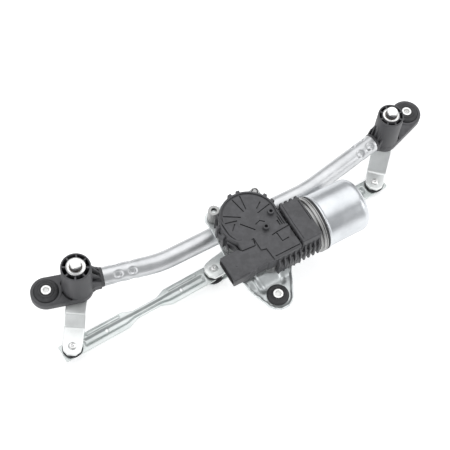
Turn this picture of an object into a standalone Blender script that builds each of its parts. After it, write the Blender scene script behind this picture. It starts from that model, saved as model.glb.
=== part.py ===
"""Windshield wiper linkage: spindle housings on a steel tube, a worm-gear motor, a crank and two link rods.

Sizes are in millimetres and the helpers turn them into metres. The origin is the centre of the
foot sleeve's lower end face, X runs from the left spindle to the right one, Z along the spindles.
"""

import math

import bmesh
import bpy
from mathutils import Matrix, Vector

MM = 0.001
GAP = 0.3  # clearance between two pieces that touch

# Where the axes stand, in plan
LEFT_PIVOT = Vector((-188.0, 122.0))
RIGHT_PIVOT = Vector((228.0, 122.0))
MOTOR_SHAFT = Vector((8.0, 82.0))
FOOT = Vector((0.0, 0.0))
LEFT_EAR = Vector((-222.0, 132.0))
RIGHT_EAR = Vector((270.5, 137.5))

# The linkage at rest: its arms, and their directions in degrees from +X
CRANK_LENGTH, CRANK_ANGLE = 45.7, 189.0
LEFT_LEVER_LENGTH, LEFT_LEVER_ANGLE = 65.2, 237.0
RIGHT_LEVER_LENGTH, RIGHT_LEVER_ANGLE = 46.6, 228.0

# Levels along the spindles, from the tube's centre line down to the link rods
PLATE_TOP, HOUSING_BOTTOM, BARREL_TOP = -1.5, -11.5, 45.0
LEVER_TOP, LEVER_THICK = -12.0, 3.5
LEFT_LEVER_DROP, RIGHT_LEVER_DROP = 9.5, 20.6
CRANK_TOP, CRANK_THICK = -21.0, 4.0
LEFT_SOCKET_TOP, RIGHT_SOCKET_TOP, SOCKET_HEIGHT, SOCKET_RADIUS = -26.0, -36.9, 10.6, 10.0
BALL_RADIUS, BALL_NECK, BALL_BELOW_TOP = 5.0, 3.2, 4.2
ROD_THICK, ROD_WIDTH, ROD_NECK, ROD_BELOW_TOP = 2.6, 21.0, 11.0, 2.8
SPINDLE_TOP, SPINDLE_RADIUS = 54.0, 6.5
LEFT_BARREL_RADIUS, RIGHT_BARREL_RADIUS, EAR_RADIUS = 17.0, 15.4, 18.0
LEFT_WASHER_RADIUS, RIGHT_WASHER_RADIUS = 11.0, 9.9

# Tube, motor bracket and the three mounting sleeves
TUBE_RADIUS, TUBE_WALL, TUBE_Y = 11.0, 1.5, 102.0
TUBE_BENDS, TUBE_ENDS, TUBE_SLOPES = (-94.0, 104.0), (-158.5, 207.0), (13.5, 10.3)
BRACKET_Z, BRACKET_THICK, FOOT_PLATE_Z, FOOT_PLATE_RADIUS = 11.5, 2.4, 5.3, 17.5
SLEEVE_OUTER, SLEEVE_BORE, FOOT_SLEEVE, EAR_SLEEVE = 5.8, 3.3, 13.0, 16.0
GROMMET_OUTER, GROMMET_NECK = 13.8, 10.2

# Gear motor
MOTOR_Y, MOTOR_Z = 52.5, 21.5
CAN_RADIUS, CAN_WALL, CAN_CORNER, CAN_FROM, CAN_TO = 32.0, 1.6, 10.0, 80.5, 138.0
HOUSING_Z, HOUSING_TOP, HOUSING_RADIUS, HOUSING_FRONT, HOUSING_LEFT = 14.4, 28.0, 33.0, 31.0, -6.0
MOTOR_END = (43.0, 72.0)  # the housing's square end that the can is fixed to
COVER_TOP, COVER_RADIUS, COVER_FRONT, COVER_LEFT, COVER_WALL = 49.0, 34.5, 24.0, -2.0, 2.2
SHAFT_RADIUS, SHAFT_BOSS_BOTTOM = 6.0, -11.0
TOWERS = ((Vector((-17.0, 116.0)), 34.0), (Vector((7.7, 31.0)), 26.0), (Vector((40.0, 119.5)), 28.0))
SCREW_RADIUS, SCREW_HEAD_RADIUS, TOWER_RADIUS = 3.0, 4.5, 6.5
WHEEL_TEETH, WHEEL_PITCH_RADIUS, WHEEL_TIP, WHEEL_ROOT, WHEEL_Z = 60, 25.2, 25.8, 24.2, (18.0, 25.0)
WORM_ROOT, WORM_TIP, WORM_TURNS, ARMATURE_RADIUS, CORE_X = 3.4, 4.8, 5, 3.2, (86.0, 122.0)

# The plug socket moulded on the gear cover: its block, the mouth in it and the four blades
SOCKET_X, SOCKET_Y, SOCKET_Z, SOCKET_ROOT_X = (-46.0, 2.0), (22.3, 54.8), (34.2, 47.7), -20.0
SOCKET_WALL, SOCKET_DEPTH = 1.15, 15.0
PIN_COUNT, PIN_PITCH, PIN_WIDTH, PIN_THICK, PIN_BELOW_MIDDLE = 4, 5.7, 2.4, 0.8, 0.4
VENT_POSTS = ((32.4, 76.2), (17.8, 62.1))
BOARD_Z, BOARD_THICK = 35.5, 1.6

PARTS = "windshield_wiper_assembly"
CUTTERS = "cutters"


def material(name, colour, roughness, metallic):
    made = bpy.data.materials.new(name)
    made.use_nodes = True
    shader = made.node_tree.nodes["Principled BSDF"]
    shader.inputs["Base Color"].default_value = (*colour, 1)
    shader.inputs["Roughness"].default_value = roughness
    shader.inputs["Metallic"].default_value = metallic
    return made


def start():
    """An empty scene with the two collections and the materials."""
    for found in list(bpy.data.objects):
        bpy.data.objects.remove(found, do_unlink=True)
    for name in (PARTS, CUTTERS):
        collection = bpy.data.collections.new(name)
        bpy.context.scene.collection.children.link(collection)
    bpy.data.collections[CUTTERS].hide_render = True
    return {
        "zinc": material("zinc_plated_steel", (0.62, 0.65, 0.66), 0.35, 1.0),
        "nickel": material("nickel_plated_steel", (0.80, 0.80, 0.79), 0.25, 1.0),
        "aluminium": material("cast_aluminium", (0.50, 0.52, 0.53), 0.55, 1.0),
        "plastic": material("black_glass_filled_plastic", (0.035, 0.035, 0.038), 0.55, 0.0),
        "rubber": material("black_rubber", (0.02, 0.02, 0.022), 0.8, 0.0),
        "brass": material("brass", (0.75, 0.55, 0.22), 0.3, 1.0),
        "copper": material("copper", (0.70, 0.33, 0.18), 0.4, 1.0),
        "bronze": material("sintered_bronze", (0.45, 0.32, 0.18), 0.55, 1.0),
        "ferrite": material("ferrite", (0.06, 0.06, 0.065), 0.7, 0.0),
        "board": material("circuit_board", (0.02, 0.12, 0.05), 0.5, 0.0),
        "acetal": material("white_acetal", (0.75, 0.74, 0.70), 0.45, 0.0),
    }


def place(obj, at, turn=(0, 0, 0), parent=None):
    obj.location = Vector(at) * MM
    obj.rotation_euler = [math.radians(angle) for angle in turn]
    obj.parent = parent
    return obj


def add(name, mesh, finish=None):
    """An object in the parts collection, or a hidden cutter where it has no finish."""
    obj = bpy.data.objects.new(name, mesh)
    bpy.data.collections[PARTS if finish else CUTTERS].objects.link(obj)
    if finish:
        mesh.materials.clear()
        mesh.materials.append(finish)
        mesh.shade_smooth()
        mesh.set_sharp_from_angle(angle=math.radians(35))
    else:
        obj.hide_render = True
        obj.display_type = "WIRE"
    return obj


def evaluated(obj):
    """The object's evaluated mesh, welded and facing outwards. The object is removed."""
    mesh = bpy.data.meshes.new_from_object(obj.evaluated_get(bpy.context.evaluated_depsgraph_get()))
    bpy.data.objects.remove(obj)
    work = bmesh.new()
    work.from_mesh(mesh)
    bmesh.ops.remove_doubles(work, verts=work.verts, dist=0.00001)
    bmesh.ops.recalc_face_normals(work, faces=work.faces)
    work.to_mesh(mesh)
    work.free()
    return mesh


def link_temporary(name, data):
    obj = bpy.data.objects.new(name, data)
    bpy.context.scene.collection.objects.link(obj)
    return obj


def plate(name, outlines, bottom, top, finish=None):
    """A flat outline given a thickness. Every outline after the first is a hole in it."""
    curve = bpy.data.curves.new(name, "CURVE")
    curve.dimensions = "2D"
    curve.fill_mode = "BOTH"
    curve.extrude = (top - bottom) / 2 * MM
    for outline in outlines:
        spline = curve.splines.new("POLY")
        spline.points.add(len(outline) - 1)
        for point, (x, y) in zip(spline.points, outline):
            point.co = (x * MM, y * MM, 0, 1)
        spline.use_cyclic_u = True
    mesh = evaluated(link_temporary(name, curve))
    mesh.transform(Matrix.Translation((0, 0, (top + bottom) / 2 * MM)))
    return add(name, mesh, finish)


def turned(name, profile, finish=None, steps=20):
    """A profile of (radius, height) turned about Z."""
    mesh = bpy.data.meshes.new(name)
    points = [(radius * MM, 0, height * MM) for radius, height in profile]
    edges = [(i, (i + 1) % len(points)) for i in range(len(points))]
    if profile[0][0] == 0 and profile[-1][0] == 0:
        edges.pop()
    mesh.from_pydata(points, edges, [])
    obj = link_temporary(name, mesh)
    screw = obj.modifiers.new("turn", "SCREW")
    screw.steps = screw.render_steps = steps
    screw.use_merge_vertices = True
    screw.merge_threshold = 0.00001
    return add(name, evaluated(obj), finish)


def bar(name, points, radius, finish=None, resolution=6):
    """A round bar or tube blank along points."""
    curve = bpy.data.curves.new(name, "CURVE")
    curve.dimensions = "3D"
    curve.bevel_depth = radius * MM
    curve.bevel_resolution = resolution
    curve.use_fill_caps = True
    spline = curve.splines.new("POLY")
    spline.points.add(len(points) - 1)
    for point, at in zip(spline.points, points):
        point.co = (*(Vector(at) * MM), 1)
    return add(name, evaluated(link_temporary(name, curve)), finish)


def box(name, low, high, finish=None):
    work = bmesh.new()
    bmesh.ops.create_cube(work, size=MM)
    size = Vector(high) - Vector(low)
    middle = (Vector(high) + Vector(low)) / 2 * MM
    bmesh.ops.scale(work, vec=size, verts=work.verts)
    bmesh.ops.translate(work, vec=middle, verts=work.verts)
    mesh = bpy.data.meshes.new(name)
    work.to_mesh(mesh)
    work.free()
    return add(name, mesh, finish)


def boolean(obj, other, operation):
    modifier = obj.modifiers.new(other.name, "BOOLEAN")
    modifier.operation = operation
    modifier.solver = "EXACT"
    modifier.object = other
    return other


def cut(obj, other):
    return boolean(obj, other, "DIFFERENCE")


def join(obj, other):
    return boolean(obj, other, "UNION")


def bend(obj, start, end, drop, along=(1, 0, 0)):
    """Slopes a flat plate down by drop, between start and end along a direction."""
    along = Vector(along)
    work = bmesh.new()
    work.from_mesh(obj.data)
    for distance in (start, end):
        everything = work.verts[:] + work.edges[:] + work.faces[:]
        bmesh.ops.bisect_plane(work, geom=everything, plane_co=along * distance * MM, plane_no=along)
    for vert in work.verts:
        share = (vert.co.dot(along) / MM - start) / (end - start)
        vert.co.z -= drop * MM * min(max(share, 0), 1)
    bmesh.ops.triangulate(work, faces=work.faces)
    work.to_mesh(obj.data)
    work.free()


def arc(centre, radius, start, end, steps):
    """Points on an arc, angles in degrees."""
    turns = [math.radians(start + (end - start) * i / steps) for i in range(steps + 1)]
    return [(centre[0] + radius * math.cos(a), centre[1] + radius * math.sin(a)) for a in turns]


def circle(centre, radius, steps=24):
    return arc(centre, radius, 0, 360, steps)[:-1]


def belt(first, first_radius, second, second_radius, steps=12):
    """The outline of a belt round two circles."""
    way = Vector(second) - Vector(first)
    heading = math.degrees(math.atan2(way.y, way.x))
    lean = math.degrees(math.acos((first_radius - second_radius) / way.length))
    return arc(first, first_radius, heading + lean, heading + 360 - lean, steps) + arc(
        second, second_radius, heading - lean, heading + lean, steps
    )


def polar(origin, length, angle):
    return origin + length * Vector((math.cos(math.radians(angle)), math.sin(math.radians(angle))))


def axis(name, at, angle=0.0, parent=None):
    """An empty on a joint's axis."""
    empty = bpy.data.objects.new(name, None)
    empty.empty_display_size = 0.02
    bpy.data.collections[PARTS].objects.link(empty)
    return place(empty, (*at, 0), (0, 0, angle), parent)


def tube_path(left, right):
    """The tube's centre line between two X positions, with a rounded bend near each end."""
    slopes = [math.tan(math.radians(angle)) for angle in TUBE_SLOPES]
    reach = 14.0
    points = [(left, TUBE_Y + (TUBE_BENDS[0] - left) * slopes[0])]
    for bend_x, slope, side in ((TUBE_BENDS[0], slopes[0], -1), (TUBE_BENDS[1], slopes[1], 1)):
        for step in range(5):
            offset = (step / 2 - 1) * reach
            points.append((bend_x + offset, TUBE_Y + slope * (offset * side + reach) ** 2 / (4 * reach)))
    points.append((right, TUBE_Y + (right - TUBE_BENDS[1]) * slopes[1]))
    return [Vector((x, y, 0)) for x, y in points]


def frame_tube(finish):
    tube = bar("frame_tube", tube_path(*TUBE_ENDS), TUBE_RADIUS, finish["zinc"])
    cut(tube, bar("tube_bore", tube_path(TUBE_ENDS[0] - 5, TUBE_ENDS[1] + 5), TUBE_RADIUS - TUBE_WALL))


def mounting(prefix, at, seat, length, web, finish):
    """A rubber grommet in a plate whose web runs between two heights, and the steel sleeve in it."""
    low, high, inner = seat + 0.8, seat + length - 0.8, SLEEVE_OUTER + GAP
    rubber = (
        (inner, high),
        (GROMMET_OUTER - 5, high),
        (GROMMET_OUTER - 1.5, high - 1),
        (GROMMET_OUTER, high - 2.5),
        (GROMMET_OUTER, web[1] + GAP),
        (GROMMET_NECK, web[1] + GAP),
        (GROMMET_NECK, web[0] - GAP),
        (GROMMET_OUTER, web[0] - GAP),
        (GROMMET_OUTER, low + 1.5),
        (GROMMET_OUTER - 1.5, low),
        (inner, low),
    )
    place(turned(prefix + "_grommet", rubber, finish["rubber"]), (*at, 0))
    steel = ((SLEEVE_BORE, length), (SLEEVE_OUTER, length), (SLEEVE_OUTER, 0), (SLEEVE_BORE, 0))
    place(turned(prefix + "_sleeve", steel, finish["nickel"]), (*at, seat))


def motor_bracket(finish):
    """A pressed plate over the tube and under the gear housing, stepped down to the foot."""
    tower_a, tower_b, tower_c = (tower for tower, top in TOWERS)
    outline = [
        *arc(FOOT, FOOT_PLATE_RADIUS, 190, 335, 12),
        (24, 8),
        (34, 26),
        (39, 40),
        (40, 84),
        (46, 100),
        *arc(tower_c, 9, -20, 100, 6),
        *arc(tower_a, 10, 90, 200, 6),
        (-27, 85),
        (-31, 60),
        (-30, 32),
        (-20, 4),
    ]
    holes = [circle(MOTOR_SHAFT, 9.6), circle(FOOT, GROMMET_NECK + GAP)]
    holes += [circle(tower, SCREW_RADIUS + GAP, 12) for tower in (tower_a, tower_b, tower_c)]
    bracket = plate("motor_bracket", [outline, *holes], BRACKET_Z, BRACKET_Z + BRACKET_THICK, finish["zinc"])
    bend(bracket, -23.0, -15.0, BRACKET_Z - FOOT_PLATE_Z, (0, -1, 0))
    mounting("foot", FOOT, 0.0, FOOT_SLEEVE, (FOOT_PLATE_Z, FOOT_PLATE_Z + BRACKET_THICK), finish)


def pivot_housing(side, pivot, ear, radius, finish):
    """A moulded housing: the spindle's barrel, an ear plate and the spigot that the tube is crimped on."""
    bush_radius, core = SPINDLE_RADIUS + 2.7, SPINDLE_RADIUS + 0.7
    barrel_outline = (
        (bush_radius, BARREL_TOP - 15),
        (bush_radius, BARREL_TOP - 0.5),
        (bush_radius + 1.6, BARREL_TOP - 0.5),
        (bush_radius + 1.6, BARREL_TOP - 14),
        (radius - 1.8, BARREL_TOP - 14),
        (radius - 1.8, BARREL_TOP),
        (radius - 0.5, BARREL_TOP),
        (radius, BARREL_TOP - 0.7),
        (radius + 1.0, HOUSING_BOTTOM),
        (bush_radius, HOUSING_BOTTOM),
        (bush_radius, HOUSING_BOTTOM + 15.5),
        (core, HOUSING_BOTTOM + 15.5),
        (core, BARREL_TOP - 15),
    )
    housing = place(turned(side + "_pivot_housing", barrel_outline, finish["plastic"], 24), (*pivot, 0))
    outlines = [belt(pivot, radius + 2.5, ear, EAR_RADIUS)]
    outlines += [circle(pivot, bush_radius + 2), circle(ear, GROMMET_NECK + GAP)]
    join(housing, plate(side + "_ear_plate", outlines, HOUSING_BOTTOM, PLATE_TOP))
    web = (HOUSING_BOTTOM + 3.5, PLATE_TOP - 2.5)
    for label, low, high in (("top", web[1], PLATE_TOP + 3), ("bottom", HOUSING_BOTTOM - 3, web[0])):
        cut(housing, plate(f"{side}_ear_recess_{label}", [circle(ear, GROMMET_OUTER + 0.4)], low, high))
    path = tube_path(*TUBE_ENDS)
    end, inward = (path[0], path[1]) if side == "left" else (path[-1], path[-2])
    way = (inward - end).normalized()
    start = end - way * (abs(end.x - pivot.x) - bush_radius - 3)
    inner = TUBE_RADIUS - TUBE_WALL - 0.4
    join(housing, bar(side + "_tube_spigot", (start, end + way * 30), inner, resolution=4))
    join(housing, bar(side + "_tube_collar", (start, end - way * 0.4), TUBE_RADIUS, resolution=4))
    mounting(side + "_ear", ear, HOUSING_BOTTOM - 1.5, EAR_SLEEVE, web, finish)
    for label, low, high in (
        ("upper", BARREL_TOP - 15 + GAP, BARREL_TOP - 0.5),
        ("lower", HOUSING_BOTTOM + GAP, HOUSING_BOTTOM + 15.5 - GAP),
    ):
        outer, inner = bush_radius - GAP, SPINDLE_RADIUS + GAP
        profile = ((inner, high), (outer, high), (outer, low), (inner, low))
        place(turned(f"{side}_{label}_bush", profile, finish["bronze"]), (*pivot, 0))


def ball_pin(name, at, top, ball_z, finish, parent, head=True):
    """A pin with a ball under it. With its head it is riveted through a plate."""
    shank = [(0, top), (BALL_NECK, top)]
    if head:
        shank = [(0, top + 1.6), (3.6, top + 1.6), (4.6, top + 0.8), (4.6, top + GAP), (BALL_NECK, top + GAP)]
    angles = [math.radians(angle) for angle in range(40, -61, -20)]
    ball = [(BALL_RADIUS * math.cos(a), ball_z + BALL_RADIUS * math.sin(a)) for a in angles]
    profile = [*shank, (BALL_NECK, ball_z + 4), *ball, (0, ball_z - BALL_RADIUS)]
    return place(turned(name, profile, finish["nickel"], 12), at, parent=parent)


def ball_socket(name, at, top, finish, parent):
    """A plastic cup that snaps over a ball, with a groove that the rod's plate sits in."""
    low, middle = top - SOCKET_HEIGHT, top - BALL_BELOW_TOP
    rod_top = top - ROD_BELOW_TOP
    cavity, mouth, groove = BALL_RADIUS + 0.35, BALL_NECK + 0.8, SOCKET_RADIUS - 2
    angles = [math.radians(-90 + 130 * i / 5) for i in range(6)]
    profile = [(cavity * math.cos(a), middle + cavity * math.sin(a)) for a in angles[1:]]
    profile = [
        (0, middle - cavity),
        *profile,
        (mouth, top),
        (SOCKET_RADIUS - 1.5, top),
        (SOCKET_RADIUS, top - 1.5),
        (SOCKET_RADIUS, rod_top + GAP),
        (groove, rod_top + GAP),
        (groove, rod_top - ROD_THICK - GAP),
        (SOCKET_RADIUS - 0.5, rod_top - ROD_THICK - GAP),
        (SOCKET_RADIUS - 1.5, low),
        (0, low),
    ]
    return place(turned(name, profile, finish["plastic"], 16), at, parent=parent)


def wiper_arm_drive(side, pivot, length, angle, drop, slope, socket_top, rod_end, narrow, finish):
    """One side's spindle with its washer, lever and ball pin, and the link rod that the lever pulls.

    The rod runs from the lever's ball to the crank's. narrow holds where its neck starts and ends.
    """
    lever_axis = axis(side + "_lever_axis", pivot, angle)
    spindle = (
        (0, SPINDLE_TOP),
        (SPINDLE_RADIUS - 1.2, SPINDLE_TOP),
        (SPINDLE_RADIUS, SPINDLE_TOP - 1.2),
        (SPINDLE_RADIUS, LEVER_TOP - LEVER_THICK - GAP),
        (SPINDLE_RADIUS + 2.0, LEVER_TOP - LEVER_THICK - GAP),
        (SPINDLE_RADIUS + 1.2, LEVER_TOP - LEVER_THICK - 2.5),
        (0, LEVER_TOP - LEVER_THICK - 2.5),
    )
    place(turned(side + "_spindle", spindle, finish["nickel"]), (0, 0, 0), parent=lever_axis)
    inner, low, high = SPINDLE_RADIUS + GAP, BARREL_TOP, BARREL_TOP + 1.8
    outer = {"left": LEFT_WASHER_RADIUS, "right": RIGHT_WASHER_RADIUS}[side]
    washer = ((inner, high), (outer - 0.5, high), (outer, high - 0.5), (outer, low), (inner, low))
    place(turned(side + "_top_washer", washer, finish["nickel"]), (0, 0, 0), parent=lever_axis)

    hub, tip = (0, 0), (length, 0)
    outlines = [belt(hub, 12.0, tip, 11.0)]
    outlines += [circle(hub, SPINDLE_RADIUS + GAP, 20), circle(tip, BALL_NECK + GAP, 16)]
    lever = plate(side + "_lever", outlines, LEVER_TOP - LEVER_THICK, LEVER_TOP, finish["zinc"])
    bend(lever, *slope, drop)
    place(lever, (0, 0, 0), parent=lever_axis)
    ball_z = socket_top - BALL_BELOW_TOP
    ball_pin(side + "_lever_ball_pin", (length, 0, 0), LEVER_TOP - drop, ball_z, finish, lever_axis)

    start = polar(pivot, length, angle)
    reach = rod_end - start
    rod_angle = math.degrees(math.atan2(reach.y, reach.x))
    rod_axis = axis(side + "_rod_axis", tip, rod_angle - angle, lever_axis)
    span, half, neck = reach.length, ROD_WIDTH / 2, ROD_NECK / 2
    edge = [(-13, half), (narrow[0], half), (narrow[0] + 12, neck)]
    edge += [(narrow[1] - 12, neck), (narrow[1], half), (span + 6, half), (span + 12, half - 5)]
    outline = [(x, -y) for x, y in edge] + edge[::-1]
    rod_top = socket_top - ROD_BELOW_TOP
    holes = [circle((x, 0), SOCKET_RADIUS - 2 + GAP) for x in (0, span)]
    rod = plate(side + "_link_rod", [outline, *holes], rod_top - ROD_THICK, rod_top, finish["zinc"])
    place(rod, (0, 0, 0), parent=rod_axis)
    ball_socket(side + "_outer_socket", (0, 0, 0), socket_top, finish, rod_axis)
    ball_socket(side + "_inner_socket", (span, 0, 0), socket_top, finish, rod_axis)
    pin_top = socket_top + (0.7 if side == "left" else -0.05)
    ball_pin(side + "_crank_ball", (span, 0, 0), pin_top, ball_z, finish, rod_axis, head=False)


def crank_and_gear(finish):
    """The output shaft with its worm wheel on top and the crank and nut under the housing."""
    crank_axis = axis("crank_axis", MOTOR_SHAFT, CRANK_ANGLE)
    bottom = CRANK_TOP - CRANK_THICK
    thread = SHAFT_RADIUS - 1.3
    shaft = (
        (0, WHEEL_Z[1] + 1),
        (SHAFT_RADIUS, WHEEL_Z[1] + 1),
        (SHAFT_RADIUS, bottom),
        (thread, bottom),
        (thread, bottom - 9),
        (0, bottom - 9),
    )
    place(turned("output_shaft", shaft, finish["nickel"], 20), (0, 0, 0), parent=crank_axis)
    bore = SHAFT_RADIUS + GAP
    outlines = [belt((0, 0), 13, (CRANK_LENGTH, 0), 11.5)]
    outlines += [circle((0, 0), bore), circle((CRANK_LENGTH, 0), BALL_NECK + GAP, 16)]
    crank = plate("motor_crank", outlines, bottom, CRANK_TOP, finish["zinc"])
    outlines = [circle((0, 0), 10.5), circle((0, 0), bore)]
    join(crank, plate("crank_hub", outlines, CRANK_TOP - 1, CRANK_TOP + 5))
    bpy.data.objects["crank_hub"].parent = crank_axis
    place(crank, (0, 0, 0), parent=crank_axis)
    rivet = [(0, 1.6), (3.6, 1.6), (4.6, 0.8), (4.6, GAP)]
    rivet += [(BALL_NECK, GAP), (BALL_NECK, -CRANK_THICK), (0, -CRANK_THICK)]
    place(turned("crank_pin", rivet, finish["nickel"], 12), (CRANK_LENGTH, 0, CRANK_TOP), parent=crank_axis)
    outlines = [circle((0, 0), 9.2, 6), circle((0, 0), thread + GAP)]
    nut = plate("crank_nut", outlines, bottom - 7.5, bottom - GAP, finish["zinc"])
    place(nut, (0, 0, 0), parent=crank_axis)

    teeth = []
    for tooth in range(WHEEL_TEETH):
        middle = 2 * math.pi * tooth / WHEEL_TEETH + math.radians(270 - CRANK_ANGLE)
        for radius, across in ((WHEEL_ROOT, -0.5), (WHEEL_TIP, -0.32), (WHEEL_TIP, 0.32), (WHEEL_ROOT, 0.5)):
            angle = middle + across / radius
            teeth.append((radius * math.cos(angle), radius * math.sin(angle)))
    wheel = plate("worm_wheel", [teeth, circle((0, 0), bore)], *WHEEL_Z, finish["acetal"])
    place(wheel, (0, 0, 0), parent=crank_axis)


def worm_thread(pitch):
    """A left-hand thread round X, a loft of one tapered section turned and moved along."""
    per_turn, start = 10, MOTOR_SHAFT.x - pitch / 2 - pitch * (WORM_TURNS // 2)
    work = bmesh.new()
    section = ((WORM_ROOT - 0.5, -0.55), (WORM_TIP, -0.3), (WORM_TIP, 0.3), (WORM_ROOT - 0.5, 0.55))
    rings = []
    for step in range(WORM_TURNS * per_turn + 1):
        turn = step / per_turn
        angle, x = -2 * math.pi * turn, start + pitch * turn
        ring = []
        for radius, offset in section:
            corner = Vector((x + offset, radius * math.cos(angle), radius * math.sin(angle)))
            ring.append(work.verts.new(corner * MM))
        rings.append(ring)
    for first, second in zip(rings, rings[1:]):
        for i in range(4):
            j = (i + 1) % 4
            work.faces.new((first[i], first[j], second[j], second[i]))
    work.faces.new(rings[0][::-1])
    work.faces.new(rings[-1])
    bmesh.ops.triangulate(work, faces=work.faces)
    bmesh.ops.recalc_face_normals(work, faces=work.faces)
    mesh = bpy.data.meshes.new("worm_thread")
    work.to_mesh(mesh)
    work.free()
    return add("worm_thread", mesh)


def along_x(obj, parent=None, origin=(0, MOTOR_Y, MOTOR_Z)):
    """Lays a turned piece on the motor's axis."""
    return place(obj, (0, 0, 0) if parent else origin, (0, 90, 0), parent)


def armature(finish):
    """The motor's rotor: a shaft with the worm rolled on it, a laminated core and a commutator."""
    spin = place(axis("armature_axis", MOTOR_SHAFT), (0, MOTOR_Y, MOTOR_Z))
    end = CAN_TO - CAN_WALL - 1
    shaft = (
        (0, end),
        (ARMATURE_RADIUS, end),
        (ARMATURE_RADIUS, 25),
        (WORM_ROOT, 24),
        (WORM_ROOT, 0),
        (ARMATURE_RADIUS - 0.6, -0.5),
        (ARMATURE_RADIUS - 0.6, -2.5),
        (0, -2.5),
    )
    shaft = along_x(turned("armature_shaft", shaft, finish["nickel"], 16), spin)
    thread = worm_thread(2 * math.pi * WHEEL_PITCH_RADIUS / WHEEL_TEETH)
    thread.parent = spin
    join(shaft, thread)
    core_outline, poles = [], 8
    for pole in range(poles):
        middle = 360 * pole / poles
        core_outline += arc((0, 0), 20.5, middle - 18, middle + 18, 3)
        next_middle = middle + 360 / poles
        slot = ((17, middle + 18), (8, (middle + next_middle) / 2), (17, next_middle - 18))
        core_outline += [polar(Vector((0, 0)), radius, turn) for radius, turn in slot]
    bore = ARMATURE_RADIUS + GAP
    core = plate("armature_core", [core_outline, circle((0, 0), bore, 16)], *CORE_X, finish["copper"])
    along_x(core, spin)
    ring = ((bore, 76), (9.5, 76), (9.5, 64), (bore, 64))
    along_x(turned("commutator", ring, finish["copper"], 20), spin)


def motor(finish):
    """The can with its magnets, bearings and brush gear, all on the motor's axis."""
    inside, corner = CAN_RADIUS - CAN_WALL, CAN_CORNER
    middle = (CAN_RADIUS - corner, CAN_TO - corner)
    profile = [(0, CAN_TO), *arc(middle, corner, 90, 0, 5)]
    rim = CAN_RADIUS + 1.2
    profile += [(CAN_RADIUS, CAN_FROM + 1.7), (rim, CAN_FROM + 1.7), (rim, CAN_FROM)]
    profile += [(inside, CAN_FROM), *arc(middle, corner - CAN_WALL, 0, 90, 4), (0, CAN_TO - CAN_WALL)]
    along_x(turned("motor_can", profile, finish["zinc"], 32))
    ring = ((29.0, CAN_FROM - GAP), (33.0, CAN_FROM - GAP), (33.0, CAN_FROM - 2.7), (29.0, CAN_FROM - 2.7))
    along_x(turned("can_seal", ring, finish["rubber"], 32))
    for name, middle in (("front_magnet", 90), ("rear_magnet", 270)):
        outline = arc((0, 0), inside - GAP, middle - 65, middle + 65, 10)
        outline += arc((0, 0), 22.5, middle + 65, middle - 65, 10)
        along_x(plate(name, [outline], *CORE_X, finish["ferrite"]))
    bore = ARMATURE_RADIUS + GAP
    can_end = CAN_TO - CAN_WALL - GAP
    bearings = (("can_bearing", 8.0, 124.0, can_end), ("worm_shaft_bearing", 10.0, 52.0, 59.0))
    for name, outer, low, high in bearings:
        along_x(turned(name, ((bore, high), (outer, high), (outer, low), (bore, low)), finish["bronze"]))
    low, high = CAN_FROM - 2.9, CAN_FROM - 0.5
    along_x(turned("brush_plate", ((11.0, high), (28.5, high), (28.5, low), (11.0, low)), finish["plastic"]))
    for name, side in (("upper_brush", 1), ("lower_brush", -1)):
        near, far = (MOTOR_Z + side * distance for distance in (9.9, 17.5))
        box(name, (66, MOTOR_Y - 3, min(near, far)), (74, MOTOR_Y + 3, max(near, far)), finish["copper"])


def gearbox_outline(radius, front, left):
    """The plan of the gearbox: round at the back about the output shaft, square at the front."""
    right = MOTOR_SHAFT.x + radius
    last = 360 - math.degrees(math.acos((left - MOTOR_SHAFT.x) / radius))
    return [(left, front), (right, front), *arc(MOTOR_SHAFT, radius, 0, last, 26)]


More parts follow.
